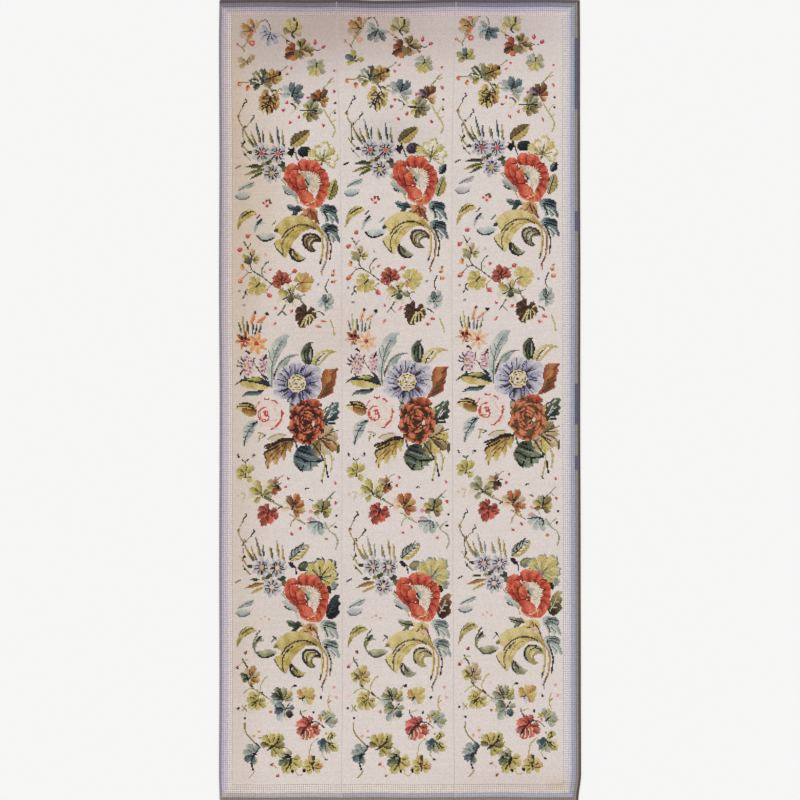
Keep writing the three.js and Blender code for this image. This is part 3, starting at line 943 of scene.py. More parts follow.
    # three long stems that fall from the scroll
    stems(("scroll1", 12, 806,196, 846,228, 872,276, 884,330, 886,390, 878,446, 864,500),
        ("scroll3", 9, 834,236, 866,276, 876,330, 876,392, 866,470), ("bottle0", 12, 868,470, 862,504),
        ("amber2", 13, 872,250, 908,304, 924,360, 918,430, 906,490, 884,536),
        ("rust1" if not second else "scroll2", 8, 912,330, 916,384, 908,446), ("brown1", 11, 900,500,
        884,536, 872,566), ("rust2" if not second else "mist1", 10, 878,556, 880,588),
        ("navy1" if second else "brown0", 12, 926,292, 940,330, 950,372, 944,420, 938,468))
    if not second:
        for x, y in ((297, 284), (235, 392)):
            bud(x, y, 48, 36, 60, "salmon", "red1")
        bud(438, 431, 26, 20, 140, "pink")
        stems(("olive0", 9, 262,326, 276,350, 292,380, 304,426, 308,470), ("olive1", 8, 316,348, 304,366,
            294,384))
    else:
        for x, y in ((280, 290), (214, 406)):
            bud(x, y, 32, 28, 30, "brick", "plum0")
        spot(228, 388, 22, "pink2")
        stems(("teal0", 11, 252,340, 270,372, 290,404), ("lime2", 8, 244,372, 268,352, 296,348))


def lowerVines():
    # Below the first scroll; y starts at the second photo quarter
    vineLeaf(326, 462, 345, 88, "lime lime lime cream tan cream lime lime", "bottle0", (335, 0.4),
        (0.25, 0.92), (-0.1, 0.6, 10))
    shadedPatch(pick("bottle", "sage"), (0.35, 0.8), 272,456, 300,458, 324,476, 316,504, 286,502, 266,486)
    stems(("olive0", 9, 314,504, 318,530, 334,556, 366,580, 402,600, 444,632, 486,666, 518,686),
        ("sage0", 8, 334,566, 300,572, 276,594, 254,620), ("sage1", 8, 284,556, 300,572),
        ("sage0", 8, 446,488, 424,514, 406,542, 404,566, 410,596), ("bottle1", 10, 440,494, 456,488))
    spot(428, 566, 18, "lime2")
    bud(251, 528, 56, 34, 345, "orange", "orange2")
    spot(256, 514, 18, "rust1")
    bud(238, 634, 56, 40, 30, "orange", "coral1")
    vineLeaf(374, 668, 225, 96, "lime scroll lime scroll scroll lime scroll", "bottle0", (325, 0.26),
        (0.42, 0.95), (-0.3, 0.28, 11), ribs="none")
    stems(("bottle1", 9, 294,698, 278,714, 276,736, 256,772), ("bottle1", 8, 278,734, 294,752))
    vineLeaf(562, 646, 345, 94, "brick", "brown0", (320, 0.3), (0.3, 0.95), (-0.55, 0.34, 11), lobes=7)
    bud(664, 560, 44, 36, 60, "salmon", "red1")
    stem("lime1", 8, 622,592, 646,574)
    vineLeaf(716, 652, 72, 100, pick("amber scroll amber amber scroll amber amber",
        "scroll lime scroll scroll lime scroll amber"), pick("brown0", "olive1"), (315, 0.22),
        (pick(0.5, 0.6, 0.7), 0.95), (-0.35, 0.2, 9), ribs="none")
    stem("olive1", 8, 662,690, 676,672, 694,662)
    vineLeaf(632, 746, 240, 118, "sage cream cream cream lime cream lime", "bottle0", (320, 0.36),
        (0.3, 0.95), (-0.2, 0.62, 9))
    shadedPatch("bottle", (0.2, 0.75), 608,760, 634,752, 654,772, 648,800, 620,808, 604,788)
    stem("bottle0", 11, 612,700, 624,724, 634,744)
    bud(464, 750, 56, 38, 130, "red", "salmon2")
    stems(("lime1", 7, 440,730, 448,700, 470,678), ("bottle1", 10, 590,824, 574,850, 560,874, 534,902),
        ("bottle1", 9, 562,870, 580,890, 596,906))
    for x, y, turn, size in ((513, 850, 330, 32), (637, 872, 40, 44), (508, 970, 40, 42),
            (888, 951, 100, 52), (851, 992, 100, 52), (470, 548, 60, 34)):
        bud(x, y, size, 22, turn, "red", "salmon3")
    vineLeaf(752, 888, 200, 116, "brown", "brown0", (325, 0.2), (0.0, 0.5), (-0.12, 0.45, 13), lobes=7,
        squash=0.9, ribs="none")
    strands("lime3", 11, (762,900, 738,938, 716,986), (768,906, 752,950, 744,990), (778,904, 782,940,
        776,980), (790,900, 808,920, 816,950), (800,880, 822,870, 834,880))
    stems(("bottle1", 10, 846,876, 868,882, 892,904), ("bottle2", 8, 690,738, 704,760, 716,798, 740,822),
        ("bottle2", 7, 706,762, 726,750, 748,748))
    vineLeaf(900, 822, 30, 98, "ice ice teal mist mist ice mist", "navy1", (300, 0.28), (0.45, 0.9),
        (-0.05, 0.6, 10), squash=0.78)
    stem("brown1", 10, 930,620, 914,654, 904,690, 918,728)
    bud(965, 572, 70, 36, 20, "peach", "rust2")
    spot(968, 556, 16, "bottle1")
    bud(972, 640, 48, 32, 70, "orange", "rust1")
    spots(20, "lilac1", 849,663, 228,715, 265,826)
    stem("lime2", 10, 946,946, 956,980, 970,1016, 974,1062)


def lilies():
    # The clump at the left: two lilies, buds and blades, and two fringed flowers below
    for x, y, length, width, turn, bend, yarn in ((266, 1050, 136, 17, 352, 6, "lime"),
            (246, 1046, 90, 15, 342, 6, "bottle"), (286, 1050, 100, 15, 2, -4, "lime"),
            (300, 1052, 100, 15, 354, 4, "navy"), (330, 1056, 110, 15, 6, -6, "teal"),
            (350, 1060, 84, 16, 16, -8, "navy"), (376, 1060, 84, 16, 22, -8, "navy"),
            (366, 1064, 120, 13, 24, -8, "sage")):
        finger(x, y, length, width, turn, yarn, (pick(0.1, 0.4), pick(0.75, 1.0)), bend=bend)
    yarn = pick("orange", "peach")
    finger(320, 978, 112, 34, 16, yarn, (0.35, 0.9), dark="orange1")
    finger(362, 968, 112, 30, 52, yarn, (0.35, 0.9), dark="orange1")
    spot(352, 884, 24, "brown1")
    patch("bottle0", 428,888, 452,882, 458,902, 438,910)
    warm = pick("rust", "rust", "orange")
    for turn in (8, 70, 130, 200, 260, 310):
        finger(268, 1104, 76, 34, turn, warm if turn in (70, 310, 8) else yarn, (0.25, 0.9), dark="rust1")
    spot(262, 1106, 30, "red1")
    spots(24, "plum0", 246,1086, 278,1086, 276,1142)
    for turn in (12, 66, 118, 168, 214, 262, 316):
        finger(364, 1126, 92, 42, turn, yarn, (0.45, 1.0), dark="orange2")
    spot(362, 1126, 36, "salmon1")
    spot(374, 1132, 16, "plum0")
    spot(352, 1112, 10, "orange1")
    stems(("bottle1", 11, 286,1190, 308,1206, 326,1240, 352,1290, 380,1334, 424,1394, 484,1464),
        ("cream3", 9, 300,1196, 336,1246, 366,1300, 398,1344), ("bottle0", 15, 282,1188, 296,1190,
        308,1206), ("teal0", 12, 420,1376, 456,1410, 476,1450), ("lime1", 10, 376,1316, 392,1328))
    # fringed flowers: small strokes set round a heart
    for x, y, wide, high in ((292, 1300, 60, 98), (424, 1290, 48, 88)):
        for ring in (1.0, 0.66, 0.34):
            for step in range(11):
                lean = math.radians(360 * (step + 0.5 * (ring < 0.9)) / 11 - 180)
                px, py = x + wide * ring * 0.72 * math.sin(lean), y - high * ring * 0.72 * math.cos(lean)
                puff(px, py, 34, 26, math.degrees(lean), "mauve", (0.3, 1.0))
        for step in range(12):
            lean = math.radians(30 * step + x)
            reach = 0.42 + 0.3 * (step * 7 % 3) / 2
            spot(x + wide * reach * math.sin(lean), y - high * reach * math.cos(lean), 15, "mauve0")
    spot(276, 1308, 36, "peach2")
    spot(274, 1300, 16, "scroll1")
    strands("plum0", 11, (262,1268, 248,1252, 242,1236), (250,1284, 226,1276, 216,1262), (240,1304,
        222,1306, 212,1298), (252,1340, 240,1356, 238,1374), (270,1380, 276,1402), (346,1238, 340,1262))
    stem("plum0", 14, 440,1214, 428,1236, 420,1248)


def anemone():
    # long pale leaves behind, then the dark leaves, then the bloom
    shadedPatch("ice", (0.42, 0.95), 482,1466, 452,1400, 444,1320, 450,1256, 468,1196, 476,1148, 510,1098,
        556,1062, 594,1056, 626,1068, 604,1092, 596,1140, 566,1180, 546,1220, 520,1270, 500,1330, 494,1400,
        lit=(-0.8, -0.2), waves=16)
    stem("mist0", 9, 484,1450, 480,1360, 494,1270, 520,1180, 560,1110)
    strands("mist1", 8, (488,1280, 466,1220, 460,1180), (506,1220, 490,1160), (514,1216, 544,1166,
        570,1120), (496,1300, 520,1256, 540,1212))
    shadedPatch("mist", (0.35, 0.95), 506,1440, 506,1376, 520,1310, 552,1258, 596,1224, 646,1212, 694,1216,
        652,1230, 622,1262, 594,1306, 560,1346, 530,1400, lit=(-0.7, -0.6), waves=18)
    stems(("mist0", 9, 522,1330, 552,1276, 604,1236, 660,1218), ("rust0", 13, 502,1446, 502,1400, 506,1362,
        522,1324), ("rust1", 8, 508,1440, 510,1386))
    shadedPatch("bottle", (0.05, 0.95), 762,1300, 726,1270, 712,1226, 716,1180, 742,1136, 770,1118,
        806,1116, 790,1138, 808,1176, 810,1220, 798,1262, 790,1304, lit=(-0.9, 0.1), waves=15)
    strands("bottle0", 11, (780,1296, 764,1240, 772,1180), (752,1270, 738,1220, 748,1170))
    stem("mist2", 10, 786,1250, 784,1210, 788,1170)
    outline = pick("lime", "scroll")
    shadedPatch(outline, (0.55, 1.0), 796,1300, 806,1244, 832,1206, 876,1180, 928,1172, 976,1184, 1000,1196,
        962,1200, 924,1222, 896,1256, 862,1290, 830,1308, lit=(-0.5, -0.6))
    shadedPatch("cream", (0.55, 1.0), 824,1280, 838,1234, 876,1204, 926,1192, 900,1222, 868,1266, 846,1292)
    stems(("bottle1", 10, 826,1298, 836,1262, 856,1236, 892,1204), ("bottle1", 8, 836,1264, 858,1258))

    shadedPatch("rust", (0.3, 0.78), 902,1326, 948,1322, 1006,1322, 990,1352, 994,1384, 980,1414, 982,1448,
        964,1474, 968,1508, 930,1530, 876,1556, 836,1560, 856,1516, 870,1468, 868,1408, 880,1360,
        lit=(0.3, -0.8), waves=12)
    stem("rust0", 9, 872,1540, 900,1480, 930,1420, 956,1372, 994,1330)
    patch("amber2", 914,1420, 930,1386, 952,1374, 950,1400, 934,1424, 918,1440)
    patch("olive1", 884,1500, 908,1462, 928,1466, 914,1500, 892,1524)
    for row in range(3):
        stem("brown1", 8, 880 + 26 * row, 1530 - 44 * row, 920 + 22 * row, 1512 - 44 * row,
            958 + 12 * row, 1490 - 44 * row)

    petals = [
        [640,1516, 701,1498, 745,1516, 776,1568, 756,1613, 701,1624, 649,1615, 612,1568],
        [771,1420, 841,1410, 872,1446, 861,1500, 820,1548, 762,1560, 724,1516, 735,1463],
        [496,1492, 553,1440, 622,1455, 654,1510, 618,1556, 553,1554, 506,1528],
        [496,1450, 512,1394, 549,1331, 605,1318, 640,1378, 630,1446, 560,1486, 508,1484],
        [731,1330, 762,1294, 816,1302, 862,1322, 870,1378, 846,1426, 771,1437, 720,1390],
        [574,1326, 612,1294, 640,1280, 677,1270, 722,1282, 742,1326, 724,1380, 650,1404, 592,1366],
    ]
    middle = (680, 1440)
    for number, points in enumerate(petals):
        edge = middle + 1.035 * (np.reshape(points, (-1, 2)) - middle)
        patch("petal3" if number else "blue1", *edge.ravel())
        tones = (pick(0.0, 0.22), pick(0.9, 1.0)) if number else (0.02, 0.8)
        foldedPatch("lilac", tones, 15, (682, 1438), *points, jitter=0.25)
    strands("blue1", 10, (640,1378, 600,1350, 566,1338), (738,1380, 744,1340, 740,1306), (760,1430,
        810,1424, 850,1420), (622,1470, 580,1486, 530,1490), (650,1508, 622,1540, 606,1566), (738,1508,
        760,1540, 772,1560), taper=0.4)
    # deep streaks out from the heart, in twos and threes to each petal
    for step in range(30):
        lean = math.radians(step * 360 / 30 + 4 * math.sin(step * 2.2))
        start = 78 + 10 * (step * 5 % 3)
        end = start + 30 + 20 * (step * 7 % 3)
        shade = "plum0" if step % 4 == 0 else "blue0" if step % 3 else "blue1"
        stem(shade, pick(12, 9) if step % 3 else 13,
            680 + start * math.sin(lean), 1438 - start * math.cos(lean),
            680 + end * math.sin(lean + 0.08), 1438 - end * math.cos(lean + 0.08), taper=0.5)
    for lean in (52, 128, 196, 238):
        angle = math.radians(lean)
        finger(680 + 70 * math.sin(angle), 1438 - 70 * math.cos(angle), 62, 24, lean, "plum", (0.0, 0.4))
    part, dx, dy = windowOf(680, 1438, 80)
    far = np.hypot(dx, dy)
    around = np.arctan2(dy, dx)
    lay(part, far < 78, "plum0")
    laySteps(part, far < 71 + 4 * np.cos(around * 9), "cream", 0.95 - far / 150)
    laySteps(part, (far < 62) & (np.sin(around * 5) > 0.3), "scroll", 1.0 - far / 250)
    for ring, count in ((54, 12), (34, 8)):
        for step in range(count):
            lean = 2 * math.pi * (step + 0.3 * (ring == 34)) / count
            px, py = 680 + ring * math.cos(lean), 1438 + ring * math.sin(lean)
            if step % 4 != 3:
                stem("brown0" if step % 2 else "rust1", 8, px - 8 * math.sin(lean), py + 8 * math.cos(lean),
                    px + 8 * math.sin(lean), py - 8 * math.cos(lean))
    spot(676, 1440, 26, "mist2")
    spot(672, 1440, 14, "teal0")

    # the long striped leaf and the small teal one at the left
    shadedPatch("scroll", (0.55, 0.98), 228,1432, 268,1418, 330,1424, 392,1434, 440,1448, 470,1468,
        440,1484, 380,1488, 316,1482, 262,1468, 236,1448, lit=(0.2, 0.9), waves=16)
    shadedPatch("teal", (0.02, 0.5), 196,1448, 226,1420, 260,1400, 318,1390, 370,1384, 420,1404, 452,1434,
        476,1466, 440,1460, 400,1440, 352,1426, 296,1418, 240,1424, lit=(-0.3, 0.4))
    shadedPatch("lime", (0.35, 0.9), 288,1408, 330,1392, 374,1390, 404,1410, 370,1420, 330,1414)
    stem("teal0", 10, 196,1450, 224,1428, 262,1418, 330,1424, 400,1442, 460,1462)
    shadedPatch("teal", (0.1, 0.98), 248,1544, 262,1520, 300,1502, 352,1496, 420,1492, 396,1520, 350,1536,
        300,1534, 268,1540, lit=(0.0, 0.8))
    stem("teal0", 10, 250,1540, 284,1510, 340,1504, 410,1496)


def rose():
    # Nearly the ground's own colour: drawn with thin pink lines, a red curl and a few red folds
    part, dx, dy = windowOf(482, 118, 132)
    far = np.hypot(dx, dy)
    around = np.arctan2(dy, dx)
    inside = far < 116 + 5 * np.cos(around * 5)
    laySteps(part, inside, "blush", 0.9 + 0.16 * np.cos(around * 6 + far / 16))
    for reach, wave, count, shade in ((112, 3, 6, "pink3"), (90, 5, 5, "peach3"), (70, 4, 4, "pink3"),
            (48, 4, 3, "peach2")):
        line = np.abs(far - reach - wave * np.cos(around * count + reach)) < planForm["fineLine"]
        lay(part, inside & line & (np.sin(around * 3 + reach) > -0.35), shade)
    stems(("salmon1", 11, 436,58, 404,66, 380,96, 378,130, 396,156, 422,168, 452,158, 460,134, 450,116,
        448,94, 432,88, 418,98), ("salmon2", 8, 392,100, 392,134, 410,152, 432,150), ("red1", 13, 432,96,
        430,114, 442,122, 452,110))
    strands("red1", 13, (424,-10, 444,-2, 462,-12), (490,4, 508,8, 524,26), (560,84, 566,104, 576,104),
        (564,96, 560,130, 548,164, 520,196, 500,222, 474,228), taper=0.3)
    stems(("salmon2", 8, 386,16, 366,42, 352,74), ("salmon2", 8, 560,150, 540,188, 512,214))


def roseAndDahlia():
    # y starts at the third photo quarter
    shadedPatch("scroll", (0.3, 1.0), 196,62, 224,40, 262,22, 300,18, 336,36, 362,74, 356,104, 320,112,
        276,104, 236,88, lit=(-0.5, -0.3), waves=13)
    shadedPatch("amber", (0.1, 0.85), 256,60, 296,66, 340,74, 362,88, 356,118, 318,132, 280,116, 252,92,
        lit=(-0.2, 0.8))
    strands("brown0", 12, (210,52, 262,46, 318,56, 362,78), (232,30, 286,26, 338,44))
    shadedPatch("ice", (0.4, 0.95), 378,158, 332,162, 286,184, 256,222, 248,268, 262,300, 254,334, 266,366,
        282,332, 312,296, 340,250, 352,212, 374,184, lit=(-0.6, -0.3), waves=16)
    stems(("teal0", 9, 378,166, 340,196, 302,246, 274,310, 266,356), ("teal0", 12, 372,172, 346,178,
        320,190))
    strands("mist0", 8, (330,206, 292,208), (308,240, 270,250), (310,250, 336,244), (290,284, 262,290))
    rose()
    stems(("lime1", 8, 374,260, 398,258, 430,274), ("lime2", 13, 382,300, 392,276, 400,262),
        ("teal0", 9, 412,290, 434,272), ("lime1", 10, 378,330, 388,300))

    # leaves round the dahlia
    olive = pick("tan tan tan amber tan olive olive", "olive tan scroll olive scroll olive tan",
        "tan olive tan tan scroll tan tan")
    vineLeaf(862, 306, 118, 158, olive, "brown1", (280, 0.22), (pick(0.35, 0.45), 0.95), (-0.1, 0.6, 10))
    strands("brown1", 8, (862,300, 912,304, 970,330, 1000,372), (872,318, 912,352, 944,398), (884,292,
        930,276, 976,280))
    patch("olive1", 996,362, 1014,348, 1014,402, 996,424)
    stems(("olive1", 9, 936,266, 958,252, 980,244, 1008,238), ("olive1", 9, 946,256, 952,236, 962,226),
        ("teal1", 14, 668,306, 672,334, 680,372), ("teal0", 10, 672,302, 696,326), ("bottle1", 15, 810,346,
        842,392, 888,462), ("lime1", 8, 830,392, 852,420))
    lacy = pick("teal", "bottle")
    shadedPatch(lacy, (0.02, 0.8), 902,196, 888,150, 904,104, 934,64, 962,30, 1004,14, 1012,46, 996,70,
        1018,90, 1002,122, 1010,148, 974,158, 986,186, 944,190, lit=(0.2, -0.5), waves=8)
    strands("ice3", 8, (918,150, 942,104, 956,84), (936,134, 958,112), (932,172, 968,168), (952,54, 976,40),
        (966,100, 984,92), (900,176, 884,168, 872,146), (918,190, 948,200))
    strands(lacy + "1", 13, (890,128, 878,104, 884,84), (884,160, 866,152, 858,128), (900,96, 904,70,
        922,56), (930,58, 948,40, 962,22))
    patch("lime2", 880,88, 892,66, 904,82, 890,104)
    patch("mist1", 622,44, 650,26, 664,66, 640,112, 620,96)
    patch("lime2", 628,60, 652,50, 656,84, 634,88)
    stem("teal0", 10, 630,30, 656,42)

    oak = pick("amber", "scroll")
    patch("cream1", 450,306, 486,276, 540,264, 600,272, 560,300, 500,322)
    stem("lime1", 7, 452,306, 486,282, 540,268, 592,274)
    shadedPatch(oak, (0.2, 1.05), 654,306, 654,340, 640,372, 628,416, 604,382, 592,440, 574,482, 562,440,
        538,470, 522,504, 500,506, 494,476, 466,500, 458,540, 440,530, 432,500, 444,470, 424,450, 422,414,
        450,386, 430,362, 470,338, 530,320, 600,300, lit=(0.1, 0.9), waves=10)
    strands("brown0", 15, (424,366, 448,352, 500,336, 556,306, 604,300, 654,306), (440,380, 500,352,
        560,322, 640,312), (424,424, 438,404, 492,382, 540,352))
    strands("brown1" if chart["strip"] == 0 else "rust1", 9, (428,432, 440,466, 430,496), (470,440, 510,404,
        560,360, 620,330), (488,470, 516,430, 548,400), (450,516, 448,538), (570,400, 590,356), (556,432,
        566,400))
    shadedPatch(pick("teal", "bottle"), (pick(0.25, 0.4, 0.5), 0.9), 652,436, 676,392, 704,362, 750,352,
        788,360, 800,388, 820,400, 818,424, 856,452, 888,472, 862,492, 842,502, 846,524, 806,526, 804,552,
        756,560, 704,548, 664,508, 650,470, lit=(-0.1, 0.5), waves=17)
    strands("navy0", 13, (664,440, 700,448, 744,474, 800,484, 884,474), (690,390, 740,408, 800,430),
        (720,370, 760,384), (744,476, 730,520, 716,548), (790,486, 790,530))
    stem("navy0", 13, 676,500, 700,540, 724,558)
    strands("mist1", 9, (700,416, 752,436, 810,452), (690,480, 730,500, 776,520))
    stems(("lime2", 13, 896,430, 900,480, 896,530, 884,586, 872,640), ("lime2", 12, 936,410, 952,450,
        956,500, 946,560), ("lime2", 9, 956,480, 972,458), ("navy0", 14, 910,510, 914,556, 924,604),
        ("bottle1", 12, 874,630, 880,644))

    gap = pick("brown0", "olive0", "olive1")
    scalyBloom(758, 176, 262, 308, "ember", gap, 6, (0.1, pick(1.3, 1.5, 1.9)))
    puff(812, 24, 66, 116, 14, "ember", (0.2, 0.9), crease=gap)
    patch("cream2", 800,176, 812,166, 822,186, 810,206, 798,196)
    spot(790, 214, 14, "scroll2")


def middleVines():
    stem("plum0", 14, 216,428, 222,446)
    spot(342, 432, 22, "navy1")
    spot(330, 444, 22, "lilac2")
    stems(("bottle1", 9, 252,470, 272,482, 298,466), ("bottle1", 8, 272,482, 276,500))
    vineLeaf(276, 588, 12, 96, "lime lime lime lime cream lime", "bottle0", (300, 0.3), (0.45, 0.95),
        (-0.25, 0.14, 10))
    fan, tail = pick(("lime", "rust"), ("lime", "rust"), ("sage", "brown"))
    vineLeaf(402, 742, 338, 122, f"{fan} cream {fan} {fan} cream {fan} sage", "bottle0", (285, 0.36),
        (0.32, 0.95), (-0.15, 0.2, 13))
    vineLeaf(512, 672, 245, 76, f"{tail} {tail} lime tan {tail}", "plum0", (300, 0.34), (0.25, 0.9),
        (-0.7, 0.3, 10))
    patch("bottle0", 522,672, 542,670, 544,690, 526,694)
    stems(("sage1", 8, 520,640, 518,612, 508,602), ("tan1", 8, 520,630, 548,604, 574,590))
    for x, y in ((612, 615), (592, 678), (980, 650), (983, 804), (706, 1003), (638, 1048)):
        bud(x, y, 30, 22, 330 if x > 600 else 20, "coral", "red1")
    stems(("plum0", 10, 746,698, 758,690, 770,694), ("plum0", 10, 780,776, 800,788), ("tan3", 12, 240,730,
        272,734, 264,760, 256,796))
    spot(216, 750, 26, "peach2")
    stems(("lime1", 11, 412,762, 452,782, 492,800, 528,816, 562,836), ("bottle1", 8, 420,750, 456,772,
        500,790), ("bottle1", 10, 534,848, 556,836, 572,820))
    vineLeaf(456, 880, 205, 110, "brick brick salmon brick brick brick brick", "brown0", (325, 0.24),
        (0.12, 0.85), (-0.25, 0.42, 13), squash=0.92)
    strands("salmon2", 10, (482,940, 496,916), (422,916, 440,900))
    leafYarns = pick("peach cream brown rust rust amber rust", "peach peach rust rust amber rust rust",
        "peach tan rust rust tan rust rust")
    vineLeaf(644, 848, 22, 118, leafYarns, "plum0", (285, 0.36), (0.4, 0.98), (-0.1, 0.6, 12))
    vineLeaf(876, 866, 12, 96, "olive lime sage olive lime olive", "bottle0", (305, 0.36), (0.3, 0.92),
        (-0.2, 0.8, 12))
    stems(("sage1", 8, 908,786, 936,758, 976,718), ("sage1", 8, 936,758, 958,776))
    vineLeaf(852, 960, 205, 106, "ice mist ice ice mist", "teal0", (215, 0.4), (0.45, 0.98), (0.0, 0.2, 8))
    stems(("teal0", 10, 760,962, 806,954, 862,958, 880,986, 874,1010), ("ice1", 8, 842,902, 852,930))
    for x, y in ((790, 876), (777, 936)):
        spot(x, y, 30, "pink1")
        spot(x - 4, y + 4, 14, "pink2")
    stems(("lime1", 9, 620,894, 650,908, 690,940, 744,968), ("lime2", 8, 662,924, 690,918, 716,950),
        ("lime1", 8, 660,934, 636,960, 626,994))
    spot(993, 906, 20, "plum0")
    spot(984, 994, 22, "plum0")
    spot(908, 1088, 26, "amber2")
    stems(("sage2", 10, 900,962, 926,1010, 948,1036, 982,1058, 1000,1110, 984,1168), ("sage2", 8, 926,1010,
        952,984, 980,962))


def secondMiddle():
    # Ghost leaves and specks round the second peony; y starts at the last photo quarter
    ghostLeaves(278, 30, 265, 96)
    shadedPatch(pick("navy", "brown", "olive"), (0.0, pick(0.55, 0.8, 0.95)), 902,60, 930,20, 952,-20,
        986,-44, 1020,-34, 1004,-2, 1022,22, 1008,60, 1018,96, 986,132, 948,150, 914,128, lit=(0.4, -0.4),
        waves=11)
    strands(pick("navy2", "cream1", "sage3"), 8, (924,110, 952,60, 972,10), (944,90, 976,84), (958,50,
        990,40), (936,70, 930,50))
    spots(16, "orange2", 396,142, 462,146, 428,126)
    stem("rust1", 9, 846,296, 858,326, 868,350)


def ghostLeaves(x, y, lowX, lowY):
    # Two faded leaves at the left, nearly lost in the ground, with a dark lower edge
    yarn = pick("ice", "ice", "petal")
    shadedPatch(yarn, (0.35, 1.0), x - 62, y + 34, x - 40, y, x - 4, y - 22, x + 38, y - 34, x + 66, y - 36,
        x + 58, y - 6, x + 28, y + 14, x - 16, y + 24, lit=(-0.3, -0.8), waves=14)
    stem("mist0", 9, x - 58, y + 32, x - 16, y + 6, x + 56, y - 26)
    shadedPatch(yarn, (0.35, 1.0), lowX - 62, lowY + 2, lowX - 30, lowY - 26, lowX + 20, lowY - 30,
        lowX + 62, lowY - 22, lowX + 30, lowY + 16, lowX - 20, lowY + 28, lit=(0.1, -0.9))
    stem("mist0", 10, lowX - 62, lowY + 6, lowX - 36, lowY + 26, lowX + 8, lowY + 26, lowX + 46, lowY + 6)


def secondLowerVines():
    # Below the second scroll; y starts at the last photo quarter
    left, right = pick(("bottle", "amber"), ("lime", "scroll"), ("lime", "tan"))
    vineLeaf(312, 606, 18, 96, f"{left} {left} tan {right} tan {right} {right}", "bottle0", (322, 0.3),
        (0.35, 0.95), (-0.1, 0.55, 9))
    stems((left + "0", 9, 268,580, 288,598, 302,620), ("lime1", 9, 304,630, 310,664, 336,690, 372,708,
        410,738, 450,762, 490,790), ("bottle0", 11, 322,664, 336,688), ("bottle0", 10, 400,716, 424,742),
        ("lime2", 9, 334,686, 292,700, 258,730), ("lime2", 9, 392,700, 396,664, 428,606),
        ("lime2", 13, 424,608, 444,600))
    vineLeaf(370, 778, 222, 96, "lime lime scroll lime lime scroll lime", "bottle0", (325, 0.3),
        (0.42, 0.98), (-0.15, 0.66, 10))
    dark = pick("bottle", "sage")
    vineLeaf(572, 786, 332, 114, f"{dark} ice {dark} {dark} sage lime sage", pick("bottle0", "plum0"),
        (250, 0.26), (0.25, 0.98), (-0.12, 0.8, 12))
    stem("lime2", 8, 632,690, 646,672)
    patch("plum0", 648,668, 664,656, 680,660, 672,678, 654,678)
    gold = pick("scroll amber scroll scroll amber scroll petal",
        "scroll amber scroll scroll scroll scroll petal", "scroll amber scroll amber scroll amber petal")
    vineLeaf(744, 756, 42, 92, gold, "bottle0", (325, 0.26), (0.52, 0.95), (-0.4, 0.05, 9), ribs="none")
    stem("bottle0", 10, 700,766, 724,764, 738,754)
    teal = pick("teal cream cream ice navy teal cream", "sage cream cream mist sage bottle cream")
    vineLeaf(592, 852, 212, 104, teal, "teal0", (330, 0.32), (0.36, 1.0), (-0.6, 0.1, 10))
    shadedPatch(pick("navy", "teal"), (0.15, 0.75), 594,876, 616,858, 642,870, 648,902, 626,920, 600,908)
    vineLeaf(778, 988, 225, 116, "brick brick salmon brick brick salmon brick brick", "brown0", (330, 0.2),
        (0.34, 1.0), (-0.05, 0.0, 13))
    strands("peach2", 10, (744,1024, 748,1052, 742,1080), (768,1010, 780,1036, 782,1066), (722,1046,
        718,1068, 706,1084), (790,1000, 808,1026))
    stems(("plum0", 15, 806,950, 772,972, 738,1008, 712,1052), ("bottle0", 9, 806,950, 838,954, 868,972,
        894,996))
    vineLeaf(908, 950, 46, 94, "mist sage mist sage mist", "bottle0", (200, 0.2), (0.52, 0.85),
        (-0.1, 0.55, 10), ribs="none")
    vineLeaf(900, 904, 330, 50, "lime mist lime", "lime1", (220, 0.3), (0.5, 0.95), (0, 0.1, 13))
    stems(("lime2", 9, 938,740, 924,790, 930,830, 944,862), ("amber2", 10, 928,800, 948,784))
    strands("amber2", 13, (846,896, 860,910, 872,950), (858,916, 846,930))
    spots(28, "pink2", 970,680, 990,758)
    spot(970, 676, 14, "pink1")
    spots(22, "navy1", 869,760, 810,877, 219,846, 271,921)
    spot(474, 872, 24, "orange1")
    stems(("lime2", 10, 250,820, 262,842, 252,866), ("lime1", 10, 282,822, 270,842, 286,862),
        ("lime3", 8, 440,830, 456,800, 480,788), ("bottle1", 9, 706,862, 712,892, 736,916),
        ("lime2", 9, 712,880, 742,866, 762,858))
    spots(22, "pink3", 236,640, 226,744, 460,664)


